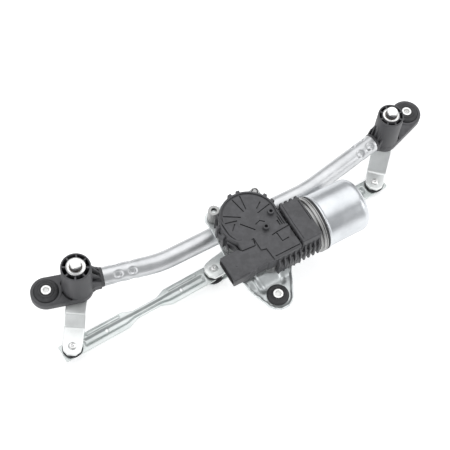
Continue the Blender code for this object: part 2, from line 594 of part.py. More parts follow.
def gear_housing(finish):
    """The die-cast housing: gearbox tray, square motor end with a flange, shaft boss and screw towers."""
    outline = gearbox_outline(HOUSING_RADIUS, HOUSING_FRONT, HOUSING_LEFT)
    housing = plate("gear_housing", [outline], HOUSING_Z, HOUSING_TOP, finish["aluminium"])
    low, high = MOTOR_END
    join(housing, box("motor_end_block", (low - 4, 21.0, HOUSING_Z), (high, 84.0, HOUSING_TOP)))
    join(housing, box("motor_end_foot", (low, 20.5, -10.0), (high, 83.0, HOUSING_Z + 1)))
    join(housing, along_x(turned("can_flange", ((0, 77.5), (33.5, 77.5), (33.5, 70.0), (0, 70.0)), None, 32)))
    join(housing, plate("shaft_boss", [circle(MOTOR_SHAFT, 8.2)], SHAFT_BOSS_BOTTOM, HOUSING_Z + 1))
    for index, (tower, top) in enumerate(TOWERS):
        join(housing, plate(f"tower_{index}", [circle(tower, TOWER_RADIUS)], HOUSING_Z, top))
        inward = tower.lerp(MOTOR_SHAFT, 16 / (tower - MOTOR_SHAFT).length)
        web = belt(tower, 5.0, inward, 9.0)
        join(housing, plate(f"tower_web_{index}", [web], HOUSING_Z, HOUSING_TOP - 3))
    floor = HOUSING_Z + 2.4
    cut(housing, plate("wheel_pocket", [circle(MOTOR_SHAFT, 29.5, 32)], floor, HOUSING_TOP + 5))
    cut(housing, along_x(turned("worm_tunnel", ((0, 60), (5.8, 60), (5.8, -3.5), (0, -3.5)), None, 16)))
    cut(housing, along_x(turned("bearing_seat", ((0, 62), (10.3, 62), (10.3, 51.5), (0, 51.5)), None, 24)))
    cut(housing, along_x(turned("brush_bay", ((0, 90), (29.0, 90), (29.0, 59.5), (0, 59.5)), None, 32)))
    bore = circle(MOTOR_SHAFT, SHAFT_RADIUS + GAP)
    cut(housing, plate("shaft_bore", [bore], SHAFT_BOSS_BOTTOM - 5, floor + 5))
    for index, (tower, top) in enumerate(TOWERS):
        hole = circle(tower, SCREW_RADIUS + GAP, 12)
        cut(housing, plate(f"screw_hole_{index}", [hole], HOUSING_Z - 5, top + 5))
        head_top = BRACKET_Z - GAP
        screw = [(0, top - 4), (SCREW_RADIUS, top - 4), (SCREW_RADIUS, head_top)]
        screw += [(SCREW_HEAD_RADIUS, head_top), (SCREW_HEAD_RADIUS, head_top - 4), (0, head_top - 4)]
        place(turned(f"motor_screw_{index + 1}", screw, finish["zinc"], 12), (*tower, 0))


def gear_cover(finish):
    """The black plastic lid over the gearbox and the circuit board, with the plug socket moulded on."""
    low = HOUSING_TOP + GAP
    outline = gearbox_outline(COVER_RADIUS, COVER_FRONT, COVER_LEFT)
    cover = plate("gear_cover", [outline], low, COVER_TOP, finish["plastic"])
    thin = COVER_WALL
    inner = gearbox_outline(COVER_RADIUS - thin, COVER_FRONT + thin, COVER_LEFT + thin)
    left, right = SOCKET_X
    front, back = SOCKET_Y
    bottom, top = SOCKET_Z
    join(cover, box("socket_block", (left, front, bottom), (SOCKET_ROOT_X + 2, back, top)))
    join(cover, box("socket_root", (SOCKET_ROOT_X, front + 3, low + 0.6), (right, back - 1, top + 0.8)))
    cut(cover, plate("cover_hollow", [inner], low - 2, COVER_TOP - thin))
    for index, post in enumerate(VENT_POSTS):
        outlines = [circle(post, 3.8, 16), circle(post, 1.9, 12)]
        join(cover, plate(f"vent_post_{index}", outlines, COVER_TOP - 1, COVER_TOP + 5.0))
    middle_y, middle_z = (front + back) / 2, (bottom + top) / 2
    pin_z = middle_z - PIN_BELOW_MIDDLE
    half_width, half_thick, slot_gap = PIN_WIDTH / 2, PIN_THICK / 2, GAP
    for index in range(PIN_COUNT):
        y = middle_y + (index - (PIN_COUNT - 1) / 2) * PIN_PITCH
        slot_low = (left - 1, y - half_width - slot_gap, pin_z - half_thick - slot_gap)
        slot_high = (COVER_LEFT + thin + 2, y + half_width + slot_gap, pin_z + half_thick + slot_gap)
        cut(cover, box(f"pin_slot_{index}", slot_low, slot_high))
        pin_low = (left + 4, y - half_width, pin_z - half_thick)
        pin_high = (COVER_LEFT + thin + 4, y + half_width, pin_z + half_thick)
        box(f"connector_pin_{index + 1}", pin_low, pin_high, finish["brass"])
    mouth_radius = (top - bottom) / 2 - SOCKET_WALL
    reach = (back - front) / 2 - SOCKET_WALL - mouth_radius
    mouth = belt((middle_y - reach, 0), mouth_radius, (middle_y + reach, 0), mouth_radius, 8)
    shroud = plate("socket_mouth", [[(-z, y) for y, z in mouth]], left - 2, left + SOCKET_DEPTH)
    cut(cover, place(shroud, (0, 0, middle_z), (0, 90, 0)))
    board_low, board_high = (COVER_LEFT + 7, COVER_FRONT + 4, BOARD_Z), (36, 74, BOARD_Z + BOARD_THICK)
    box("control_board", board_low, board_high, finish["board"])

    hump = box("brush_cover", (MOTOR_END[0] + 1.2, 25.5, low), (69.6, 78.4, 52.0), finish["plastic"])
    cut(hump, box("brush_cover_hollow", (MOTOR_END[0] + 3.4, 27.7, low - 2), (75, 76.2, 49.8)))


def main():
    finish = start()
    frame_tube(finish)
    motor_bracket(finish)
    pivot_housing("left", LEFT_PIVOT, LEFT_EAR, LEFT_BARREL_RADIUS, finish)
    pivot_housing("right", RIGHT_PIVOT, RIGHT_EAR, RIGHT_BARREL_RADIUS, finish)
    crank_ball = polar(MOTOR_SHAFT, CRANK_LENGTH, CRANK_ANGLE)
    wiper_arm_drive(
        "left", LEFT_PIVOT, LEFT_LEVER_LENGTH, LEFT_LEVER_ANGLE, LEFT_LEVER_DROP,
        (22.0, 36.0), LEFT_SOCKET_TOP, crank_ball, (68, 124), finish,
    )
    wiper_arm_drive(
        "right", RIGHT_PIVOT, RIGHT_LEVER_LENGTH, RIGHT_LEVER_ANGLE, RIGHT_LEVER_DROP,
        (13.0, 33.0), RIGHT_SOCKET_TOP, crank_ball, (60, 150), finish,
    )
    crank_and_gear(finish)
    armature(finish)
    motor(finish)
    gear_housing(finish)
    gear_cover(finish)


main()
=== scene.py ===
"""The looks of a windshield wiper linkage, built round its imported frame.

Sizes are in millimetres, in the frame's own axes: X from the left spindle to the right one, Z along
the spindles. The helpers turn them into metres.
"""

import math

import bmesh
import bpy
from mathutils import Matrix, Vector
from mathutils.geometry import delaunay_2d_cdt


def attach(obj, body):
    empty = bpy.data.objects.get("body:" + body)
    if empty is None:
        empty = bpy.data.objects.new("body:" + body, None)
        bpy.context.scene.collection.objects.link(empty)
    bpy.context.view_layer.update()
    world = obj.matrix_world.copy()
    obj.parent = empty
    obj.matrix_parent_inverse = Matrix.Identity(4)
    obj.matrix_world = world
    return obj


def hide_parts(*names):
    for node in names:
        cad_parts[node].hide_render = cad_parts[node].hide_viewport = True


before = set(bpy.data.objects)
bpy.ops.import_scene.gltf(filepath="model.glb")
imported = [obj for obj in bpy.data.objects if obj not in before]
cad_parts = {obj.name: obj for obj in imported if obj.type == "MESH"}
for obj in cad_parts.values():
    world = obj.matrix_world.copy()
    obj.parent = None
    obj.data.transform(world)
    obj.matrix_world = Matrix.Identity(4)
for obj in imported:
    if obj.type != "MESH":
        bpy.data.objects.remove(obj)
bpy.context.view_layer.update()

# ---------------------------------------------------------------------------------------- frame tube
# The backbone: a drawn steel tube, bent near both ends and zinc plated. Each end is pushed over a
# housing's spigot and locked by round dimples, pressed in where the spigot is narrower.

MM = 0.001
TUBE_RADIUS, TUBE_WALL, TUBE_Y = 11.0, 1.5, 102.0
TUBE_BENDS, TUBE_ENDS, TUBE_SLOPES, BEND_REACH = (-94.0, 104.0), (-158.5, 207.0), (13.5, 10.3), 14.0
DIMPLE_ANGLES, DIMPLE_PITCH, DIMPLE_FIRST = (-145.0, -55.0, 35.0, 125.0), 16.2, {"left": 16.9, "right": 9.0}
DIMPLE_RADIUS, DIMPLE_STEP, DIMPLE_DEPTH = 5.9, 0.9, 1.9


def wire(tree, kind, inputs=None, **settings):
    """A node in a tree. An input that is given a socket is linked, and any other is set."""
    made = tree.nodes.new(kind)
    for key, value in settings.items():
        setattr(made, key, value)
    for key, value in (inputs or {}).items():
        if isinstance(value, bpy.types.NodeSocket):
            tree.links.new(value, made.inputs[key])
        else:
            made.inputs[key].default_value = value
    return made


def calc(tree, operation, first, second=0.0, third=0.0):
    """The output of a math node."""
    inputs = {0: first, 1: second, 2: third}
    return wire(tree, "ShaderNodeMath", inputs, operation=operation).outputs["Value"]


def node_group(name, kind, given, made, makes="Float"):
    """A node group. Each named input has a default number, or the kind of socket if it has none."""
    tree = bpy.data.node_groups.new(name, kind)
    for label, value in given.items():
        sort = {str: value, int: "Int", float: "Float"}[type(value)]
        added = tree.interface.new_socket(label, in_out="INPUT", socket_type="NodeSocket" + sort)
        if sort != value:
            added.default_value = value
    for label in made:
        tree.interface.new_socket(label, in_out="OUTPUT", socket_type="NodeSocket" + makes)
    return tree, tree.nodes.new("NodeGroupInput").outputs, tree.nodes.new("NodeGroupOutput").inputs


def spread(tree, value, low, high, to_low=0.0, to_high=1.0):
    """Maps a value from one range to another, and clamps it."""
    inputs = {"Value": value, "From Min": low, "From Max": high, "To Min": to_low, "To Max": to_high}
    return wire(tree, "ShaderNodeMapRange", inputs).outputs["Result"]


def noise(tree, where, scale, detail=3.0, stretch=None):
    """A noise pattern, drawn out along the axes where stretch is under 1."""
    if stretch:
        where = wire(tree, "ShaderNodeMapping", {"Vector": where, "Scale": stretch}).outputs["Vector"]
    inputs = {"Vector": where, "Scale": scale, "Detail": detail, "Roughness": 0.6}
    return wire(tree, "ShaderNodeTexNoise", inputs).outputs["Fac"]


def edge_wear_and_highlight_group():
    """A mask that is 1 on outer edges and breaks up along them: partly rubbed wear, partly a painted
    highlight.
    """
    given = {"Width": 0.0006, "Breaks": 220.0}
    tree, inputs, outputs = node_group("edge_wear", "ShaderNodeTree", given, ["Worn"])
    rounded = wire(tree, "ShaderNodeBevel", {"Radius": inputs["Width"]}, samples=4).outputs["Normal"]
    plain_normal = wire(tree, "ShaderNodeNewGeometry").outputs["Normal"]
    turn = wire(tree, "ShaderNodeVectorMath", {0: rounded, 1: plain_normal}, operation="DOT_PRODUCT")
    edge = spread(tree, turn.outputs["Value"], 0.995, 0.80)
    where = wire(tree, "ShaderNodeTexCoord").outputs["Object"]
    patches = spread(tree, noise(tree, where, inputs["Breaks"]), 0.38, 0.58, 0.35, 1.0)
    tree.links.new(calc(tree, "MULTIPLY", edge, patches), outputs["Worn"])
    return tree


def plating_group():
    """Zinc plating: cloudy patches, fine drawing lines along X and a satin tooth."""
    given = {"Patch Scale": 70.0, "Tooth Scale": 1900.0, "Line Scale": 520.0}
    tree, inputs, outputs = node_group("plating", "ShaderNodeTree", given, ["Cloud", "Lines", "Tooth"])
    where = wire(tree, "ShaderNodeTexCoord").outputs["Object"]
    cloud = spread(tree, noise(tree, where, inputs["Patch Scale"], 5.0), 0.32, 0.68)
    lines = spread(tree, noise(tree, where, inputs["Line Scale"], 3.0, (0.03, 1.0, 1.0)), 0.3, 0.7)
    tooth = noise(tree, where, inputs["Tooth Scale"], 2.0)
    tree.links.new(cloud, outputs["Cloud"])
    tree.links.new(lines, outputs["Lines"])
    tree.links.new(calc(tree, "MULTIPLY_ADD", lines, 0.35, tooth), outputs["Tooth"])
    return tree


EDGE_WEAR_AND_HIGHLIGHT, PLATING = edge_wear_and_highlight_group(), plating_group()


def mixed(tree, share, first, second):
    """A colour between two, by a mask. Sockets 0, 6 and 7 of a colour mix are its share and its ends."""
    node = wire(tree, "ShaderNodeMix", {0: share}, data_type="RGBA")
    for socket, colour in ((node.inputs[6], first), (node.inputs[7], second)):
        if isinstance(colour, bpy.types.NodeSocket):
            tree.links.new(colour, socket)
        else:
            socket.default_value = (*colour, 1.0)
    return node.outputs[2]


def material(name, metallic):
    """A material, its node tree and its Principled shader."""
    made = bpy.data.materials.new(name)
    made.use_nodes = True
    shader = made.node_tree.nodes["Principled BSDF"]
    shader.inputs["Metallic"].default_value = metallic
    return made, made.node_tree, shader


def bumped(tree, shader, height, distance):
    """Gives a shader a bump that stands out by a distance."""
    inputs = {"Height": height, "Distance": distance * MM, "Strength": 1.0}
    tree.links.new(wire(tree, "ShaderNodeBump", inputs).outputs["Normal"], shader.inputs["Normal"])


def plated(name, dark, light, rough, patch=70.0, lines=520.0, tooth=0.012, metallic=1.0):
    """Plated metal: colour clouds, drawing lines in its gloss, and brighter edges, partly rubbed wear and
    partly a painted highlight.
    """
    worn = (0.86, 0.87, 0.87)
    made, tree, shader = material(name, metallic)
    coat_inputs = {"Patch Scale": patch, "Line Scale": lines}
    coat = wire(tree, "ShaderNodeGroup", coat_inputs, node_tree=PLATING).outputs
    # The edge mask lightens edges: partly rubbed wear, partly a painted highlight.
    wear_and_highlight = wire(tree, "ShaderNodeGroup", {"Width": 0.7 * MM}, node_tree=EDGE_WEAR_AND_HIGHLIGHT).outputs["Worn"]
    base = mixed(tree, coat["Cloud"], dark, light)
    tree.links.new(mixed(tree, calc(tree, "MULTIPLY", wear_and_highlight, 0.6), base, worn), shader.inputs["Base Color"])
    gloss = calc(tree, "MULTIPLY_ADD", coat["Cloud"], 0.4, calc(tree, "MULTIPLY", coat["Lines"], 0.6))
    tree.links.new(spread(tree, gloss, 0.0, 1.0, rough[0], rough[1]), shader.inputs["Roughness"])
    bumped(tree, shader, coat["Tooth"], tooth)
    return made


ZINC = plated("zinc_plated_steel", (0.58, 0.61, 0.61), (0.72, 0.75, 0.75), (0.30, 0.46), metallic=0.8)
TUBE_ZINC = plated("zinc_plated_tube", (0.56, 0.57, 0.58), (0.72, 0.73, 0.74), (0.30, 0.46),
                   patch=45.0, lines=300.0, metallic=0.85)


def link(name, data):
    """A new object in the scene."""
    made = bpy.data.objects.new(name, data)
    bpy.context.scene.collection.objects.link(made)
    return made


def plain(obj, finish=None, smooth=35, weld=0.002):
    """Makes an object and its modifiers one plain mesh, welded, facing outwards, in its place."""
    graph = bpy.context.evaluated_depsgraph_get()
    mesh = bpy.data.meshes.new_from_object(obj.evaluated_get(graph))
    mesh.transform(obj.matrix_world)
    name = obj.name
    bpy.data.objects.remove(obj)
    work = bmesh.new()
    work.from_mesh(mesh)
    bmesh.ops.remove_doubles(work, verts=work.verts, dist=weld * MM)
    bmesh.ops.recalc_face_normals(work, faces=work.faces)
    work.to_mesh(mesh)
    work.free()
    if finish:
        mesh.materials.clear()
        mesh.materials.append(finish)
    mesh.shade_smooth()
    mesh.set_sharp_from_angle(angle=math.radians(smooth))
    return link(name, mesh)


def grow(obj, group, **inputs):
    """Gives an object a Geometry Nodes modifier, its inputs set by the sockets' identifiers."""
    modifier = obj.modifiers.new(group.name, "NODES")
    modifier.node_group = group
    for item in group.interface.items_tree:
        if item.item_type == "SOCKET" and item.in_out == "INPUT" and item.name.lower() in inputs:
            modifier[item.identifier] = inputs[item.name.lower()]
    return obj


def fit(piece, body, slot, *replaced):
    """The piece rides on a body and stands for the CAD nodes, which it hides. The slot is not used."""
    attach(piece, body)
    if replaced:
        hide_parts(*replaced)
    return piece


def tube_path(steps=24):
    """The tube's centre line, straight but for a rounded bend near each end."""
    (left, right), slopes = TUBE_ENDS, [math.tan(math.radians(angle)) for angle in TUBE_SLOPES]
    points = [(left, TUBE_Y + (TUBE_BENDS[0] - left) * slopes[0])]
    for bend, slope, side in ((TUBE_BENDS[0], slopes[0], -1), (TUBE_BENDS[1], slopes[1], 1)):
        for step in range(steps + 1):
            along = (2 * step / steps - 1) * BEND_REACH
            rise = slope * (along * side + BEND_REACH) ** 2 / (4 * BEND_REACH)
            points.append((bend + along, TUBE_Y + rise))
    points.append((right, TUBE_Y + (right - TUBE_BENDS[1]) * slopes[1]))
    return [Vector((x, y, 0)) for x, y in points]


def tube_end(side):
    """Where the tube ends, and the direction from there into it."""
    path = tube_path()
    end, inward = (path[0], path[1]) if side == "left" else (path[-1], path[-2])
    return end, (inward - end).normalized()


def dimple_places(side):
    """Each dimple's centre on the tube's surface."""
    end, way = tube_end(side)
    across = Vector((0, 0, 1)).cross(way) * (-1 if side == "left" else 1)
    for row in range(2):
        for angle in DIMPLE_ANGLES:
            turn = math.radians(angle)
            out = across * math.sin(turn) + Vector((0, 0, 1)) * math.cos(turn)
            yield end + way * (DIMPLE_FIRST[side] + row * DIMPLE_PITCH) + out * TUBE_RADIUS


def finish_group(tree, geometry, finish, output):
    """Ends a Geometry Nodes tree: the instances are realized and given their material."""
    real = wire(tree, "GeometryNodeRealizeInstances", {"Geometry": geometry}).outputs["Geometry"]
    shown = wire(tree, "GeometryNodeSetMaterial", {"Geometry": real, "Material": finish})
    tree.links.new(shown.outputs["Geometry"], output)
    return tree


def dimpled_tube_group():
    """A tube along the edges it is given, pressed in round the dimple points."""
    given = {"Path": "Geometry", "Dimples": "Object", "Radius": 0.011, "Spacing": 0.001, "Reach": 0.006}
    given.update({"Step": 0.001, "Depth": 0.002, "Finish": "Material"})
    tree, inputs, outputs = node_group("dimpled_tube", "GeometryNodeTree", given, ["Tube"], "Geometry")
    curve = wire(tree, "GeometryNodeMeshToCurve", {"Mesh": inputs["Path"]})
    spaced = {"Curve": curve.outputs["Curve"], "Length": inputs["Spacing"]}
    curve = wire(tree, "GeometryNodeResampleCurve", spaced, mode="LENGTH").outputs["Curve"]
    ring = wire(tree, "GeometryNodeCurvePrimitiveCircle", {"Resolution": 96, "Radius": inputs["Radius"]})
    swept = {"Curve": curve, "Profile Curve": ring.outputs["Curve"]}
    tube = wire(tree, "GeometryNodeCurveToMesh", swept).outputs["Mesh"]
    target = wire(tree, "GeometryNodeObjectInfo", {"Object": inputs["Dimples"]}).outputs["Geometry"]
    near = wire(tree, "GeometryNodeProximity", {0: target}, target_element="POINTS").outputs["Distance"]
    sunk = []
    for start, end, depth in ((1.0, 0.72, inputs["Step"]), (0.66, 0.5, inputs["Depth"])):
        start, end = (calc(tree, "MULTIPLY", inputs["Reach"], share) for share in (start, end))
        ramp = {"Value": near, "From Min": start, "From Max": end, "To Max": depth}
        ramp_node = wire(tree, "ShaderNodeMapRange", ramp, interpolation_type="SMOOTHSTEP")
        sunk.append(ramp_node.outputs["Result"])
    total = calc(tree, "MULTIPLY", calc(tree, "ADD", *sunk), -1.0)
    normal = wire(tree, "GeometryNodeInputNormal").outputs["Normal"]
    shift = wire(tree, "ShaderNodeVectorMath", {0: normal, "Scale": total}, operation="SCALE")
    offset = {"Geometry": tube, "Offset": shift.outputs["Vector"]}
    sunken = wire(tree, "GeometryNodeSetPosition", offset).outputs["Geometry"]
    return finish_group(tree, sunken, inputs["Finish"], outputs["Tube"])


def dimpled_tube():
    """The tube as a mesh with its wall, pressed in round every dimple."""
    path = [point * MM for point in tube_path()]
    mesh = bpy.data.meshes.new("tube_path")
    mesh.from_pydata(path, [(i, i + 1) for i in range(len(path) - 1)], [])
    marks = bpy.data.meshes.new("dimple_marks")
    marks.from_pydata([place * MM for side in DIMPLE_FIRST for place in dimple_places(side)], [], [])
    marks = link("dimple_marks", marks)
    sizes = {"radius": TUBE_RADIUS, "reach": DIMPLE_RADIUS, "step": DIMPLE_STEP, "depth": DIMPLE_DEPTH}
    sizes = {name: size * MM for name, size in sizes.items()}
    tube = grow(link("dimpled_tube", mesh), dimpled_tube_group(), dimples=marks, finish=TUBE_ZINC, **sizes)
    wall = tube.modifiers.new("wall", "SOLIDIFY")
    wall.thickness, wall.offset = TUBE_WALL * MM, -1.0
    tube = plain(tube)
    bpy.data.objects.remove(marks)
    return tube


fit(dimpled_tube(), "frame", "zinc_plated_steel", "frame_tube")

# ------------------------------------------------------------------------------------ pivot housings
# One at each end of the tube: glass-filled nylon, injection moulded in one piece with the spindle's
# barrel, the ear plate for a mounting bolt, the neck and the spigot that the tube is crimped on.

PIVOTS = {"left": Vector((-188.0, 122.0)), "right": Vector((228.0, 122.0))}
EARS = {"left": Vector((-222.0, 132.0)), "right": Vector((270.5, 137.5))}
BARREL_RADII, EAR_RADIUS, BUSH_RADIUS = {"left": 17.0, "right": 15.4}, 18.0, 9.2
BARREL_TOP, BARREL_BOTTOM, PLATE_TOP, POCKET_FLOOR = 45.0, -11.5, -1.5, 24.0
BARREL_RIBS, BARREL_RIB_WIDTH, FIRST_RIB = 8, 1.9, {"left": 16.0, "right": 38.0}
BARREL_WALL, NECK_RADIUS, NECK_COLLAR_RADIUS = 1.8, 10.6, 11.4
SPIGOT_RADIUS, SPIGOT_CORE_RADIUS, SPIGOT_LENGTH = 9.1, 6.4, 35.0
GROMMET_RADIUS, GROMMET_NECK, GROMMET_GAP = 13.8, 10.2, 0.1


def circle(centre, radius, steps=64):
    return arc(centre, radius, 0, 360, steps)[:-1]


def arc(centre, radius, start, end, steps=24):
    """Points on an arc, angles in degrees."""
    turns = [math.radians(start + (end - start) * i / steps) for i in range(steps + 1)]
    return [(centre[0] + radius * math.cos(a), centre[1] + radius * math.sin(a)) for a in turns]


def belt(first, first_radius, second, second_radius, steps=32):
    """The outline of a belt round two circles."""
    way = Vector(second) - Vector(first)
    heading = math.degrees(math.atan2(way.y, way.x))
    lean = math.degrees(math.acos((first_radius - second_radius) / way.length))
    start = arc(first, first_radius, heading + lean, heading + 360 - lean, steps)
    return start + arc(second, second_radius, heading - lean, heading + lean, steps)


def soften(points, radius, closed=True, steps=4):
    """Rounds an outline's corners. The radius is one number, or one for each corner."""
    radii = [radius] * len(points) if isinstance(radius, (int, float)) else radius
    made = []
    for i, size in enumerate(radii):
        at = Vector(points[i])
        before, after = Vector(points[i - 1]) - at, Vector(points[(i + 1) % len(points)]) - at
        turn = math.pi - before.angle(after, math.pi)
        if turn < 0.25 or not size or (not closed and i in (0, len(points) - 1)):
            made.append(tuple(at))
            continue
        reach = min(size * math.tan(turn / 2), before.length * 0.45, after.length * 0.45)
        start, end = at + before.normalized() * reach, at + after.normalized() * reach
        for step in range(steps + 1):
            share = step / steps
            bent = start * (1 - share) ** 2 + at * 2 * share * (1 - share) + end * share**2
            made.append(tuple(bent))
    return made


def mesh_object(name, work, finish):
    """Links a bmesh as an object, facing outwards, with its finish."""
    bmesh.ops.recalc_face_normals(work, faces=work.faces)
    mesh = bpy.data.meshes.new(name)
    work.to_mesh(mesh)
    work.free()
    if finish:
        mesh.materials.append(finish)
    mesh.shade_smooth()
    mesh.set_sharp_from_angle(angle=math.radians(35))
    return link(name, mesh)


def turned(name, profile, at=(0, 0), finish=None, steps=96):
    """A (radius, height) profile turned about an upright axis: from the axis to the axis, or a loop."""
    work = bmesh.new()
    rings = []
    for radius, height in profile:
        spots = circle(at, radius, steps) if radius else [at]
        rings.append([work.verts.new((x * MM, y * MM, height * MM)) for x, y in spots])
    pairs = list(zip(rings, rings[1:]))
    if profile[0][0] or profile[-1][0]:
        pairs.append((rings[-1], rings[0]))
    for first, second in pairs:
        for i in range(steps):
            j = (i + 1) % steps
            loop = [first[i % len(first)], first[j % len(first)], second[j % len(second)],
                    second[i % len(second)]]
            corners = list(dict.fromkeys(loop))
            if len(corners) > 2:
                work.faces.new(corners)
    return mesh_object(name, work, finish)


def slab(name, outlines, low, high, finish=None, edge=0.4, rounds=2):
    """A flat piece with rounded edges. Every outline after the first is a hole in it."""
    curve = bpy.data.curves.new(name, "CURVE")
    curve.dimensions, curve.fill_mode = "2D", "BOTH"
    curve.bevel_depth, curve.bevel_resolution, curve.offset = edge * MM, rounds - 1, -edge * MM
    curve.extrude = ((high - low) / 2 - edge) * MM
    for outline in outlines:
        spline = curve.splines.new("POLY")
        spline.points.add(len(outline) - 1)
        for point, (x, y) in zip(spline.points, outline):
            point.co = (x * MM, y * MM, 0, 1)
        spline.use_cyclic_u = True
    obj = link(name, curve)
    obj.location.z = (low + high) / 2 * MM
    bpy.context.view_layer.update()
    return plain(obj, finish)


def moved(obj, matrix):
    """Moves a piece's mesh. The object itself stays at the origin."""
    obj.data.transform(matrix)
    if matrix.determinant() < 0:
        obj.data.flip_normals()
    return obj


def together(name, *objects):
    """Makes several closed shapes one piece."""
    for other in objects[1:]:
        for slot in other.data.materials:
            if slot and slot.name not in objects[0].data.materials:
                objects[0].data.materials.append(slot)
    with bpy.context.temp_override(active_object=objects[0], selected_editable_objects=list(objects)):
        bpy.ops.object.join()
    objects[0].name = objects[0].data.name = name
    return objects[0]


def boolean(obj, others, operation):
    for other in others:
        modifier = obj.modifiers.new(other.name, "BOOLEAN")
        modifier.operation, modifier.solver, modifier.object = operation, "EXACT", other
    finish = obj.data.materials[0] if obj.data.materials else None
    made = plain(obj, finish)
    for other in others:
        bpy.data.objects.remove(other)
    return made


def cut(obj, *others):
    return boolean(obj, others, "DIFFERENCE")


def join(obj, *others):
    return boolean(obj, others, "UNION")


def block(name, low, high, finish=None, edge=0.4, corner=0.0, rounds=2):
    """A rectangular block with rounded edges, and upright corners of their own radius."""
    outline = [(low[0], low[1]), (high[0], low[1]), (high[0], high[1]), (low[0], high[1])]
    outline = soften(outline, corner, steps=6) if corner else outline
    return slab(name, [outline], low[2], high[2], finish, edge, rounds)


def repeat_group():
    """Copies of one item, each a step and a turn on from the one before."""
    given = {"Item": "Object", "Count": 8, "Step": "Vector", "Turn": "Vector", "Finish": "Material"}
    tree, inputs, outputs = node_group("repeat", "GeometryNodeTree", given, ["Items"], "Geometry")
    line = {"Count": inputs["Count"], "Offset": inputs["Step"]}
    spots = wire(tree, "GeometryNodeMeshLine", line, mode="OFFSET").outputs["Mesh"]
    index = wire(tree, "GeometryNodeInputIndex").outputs["Index"]
    scaled = {0: inputs["Turn"], "Scale": index}
    turn = wire(tree, "ShaderNodeVectorMath", scaled, operation="SCALE").outputs["Vector"]
    item = wire(tree, "GeometryNodeObjectInfo", {"Object": inputs["Item"]}).outputs["Geometry"]
    placed = {"Points": spots, "Instance": item, "Rotation": turn}
    copies = wire(tree, "GeometryNodeInstanceOnPoints", placed).outputs["Instances"]
    return finish_group(tree, copies, inputs["Finish"], outputs["Items"])


REPEAT = repeat_group()


def repeated(name, item, count, finish, step=(0, 0, 0), turn=(0, 0, 0), at=(0, 0, 0), facing=0.0):
    """A row or ring of copies of an item, made at the origin and then put in its place."""
    holder = link(name, bpy.data.meshes.new(name))
    step = [value * MM for value in step]
    turn = [math.radians(value) for value in turn]
    made = plain(grow(holder, REPEAT, item=item, count=count, step=step, turn=turn, finish=finish))
    bpy.data.objects.remove(item)
    place = Matrix.Translation(Vector(at) * MM) @ Matrix.Rotation(math.radians(facing), 4, "Z")
    return moved(made, place)


def moulding_group():
    """A moulded or cast skin: slow cloudiness, spark-eroded grain, and patches on upward faces that are dust
    and a painted sheen from the overhead light.
    """
    given = {"Cloud Scale": 45.0, "Grain Scale": 1500.0}
    tree, inputs, outputs = node_group("moulding", "ShaderNodeTree", given, ["Cloud", "Grain", "Dust"])
    where = wire(tree, "ShaderNodeTexCoord").outputs["Object"]
    cloud = spread(tree, noise(tree, where, inputs["Cloud Scale"], 5.0), 0.35, 0.65)
    grain = noise(tree, where, inputs["Grain Scale"], 3.0)
    normal = wire(tree, "ShaderNodeNewGeometry").outputs["Normal"]
    upward = wire(tree, "ShaderNodeSeparateXYZ", {"Vector": normal}).outputs["Z"]
    dust_and_sheen_patches = spread(tree, noise(tree, where, 160.0, 4.0), 0.42, 0.75)
    # Upward faces are lightened in patches: dust, and a painted sheen from the overhead light.
    dust = calc(tree, "MULTIPLY", spread(tree, upward, 0.3, 0.95), dust_and_sheen_patches)
    for label, value in (("Cloud", cloud), ("Grain", grain), ("Dust", dust)):
        tree.links.new(value, outputs[label])
    return tree


MOULDING = moulding_group()


def moulded(name, dark, light, rough, grain=0.02, worn=(0.16, 0.16, 0.17), dust=0.35, metallic=0.0,
            width=0.5):
    """A moulded or cast material: clouded colour, grain, dust and painted sheen on upward faces, and lighter
    edges, partly rubbed wear and partly a painted highlight.
    """
    made, tree, shader = material(name, metallic)
    skin = wire(tree, "ShaderNodeGroup", {"Cloud Scale": 45.0}, node_tree=MOULDING).outputs
    wear_and_highlight = wire(tree, "ShaderNodeGroup", {"Width": width * MM}, node_tree=EDGE_WEAR_AND_HIGHLIGHT).outputs["Worn"]
    base = mixed(tree, skin["Cloud"], dark, light)
    # Painted sheen and dust lighten upward faces; painted highlight and wear lighten edges.
    dust_and_sheen_tone = mixed(tree, calc(tree, "MULTIPLY", skin["Dust"], dust), base, worn)
    rubbed_and_highlit = mixed(tree, calc(tree, "MULTIPLY", wear_and_highlight, 0.55), dust_and_sheen_tone, worn)
    tree.links.new(rubbed_and_highlit, shader.inputs["Base Color"])
    gloss = calc(tree, "MULTIPLY_ADD", skin["Cloud"], 0.6, calc(tree, "MULTIPLY", skin["Grain"], 0.4))
    tree.links.new(spread(tree, gloss, 0.2, 0.8, rough[0], rough[1]), shader.inputs["Roughness"])
    bumped(tree, shader, skin["Grain"], grain)
    return made


NYLON = moulded("black_nylon", (0.056, 0.056, 0.060), (0.080, 0.080, 0.085), (0.42, 0.60))


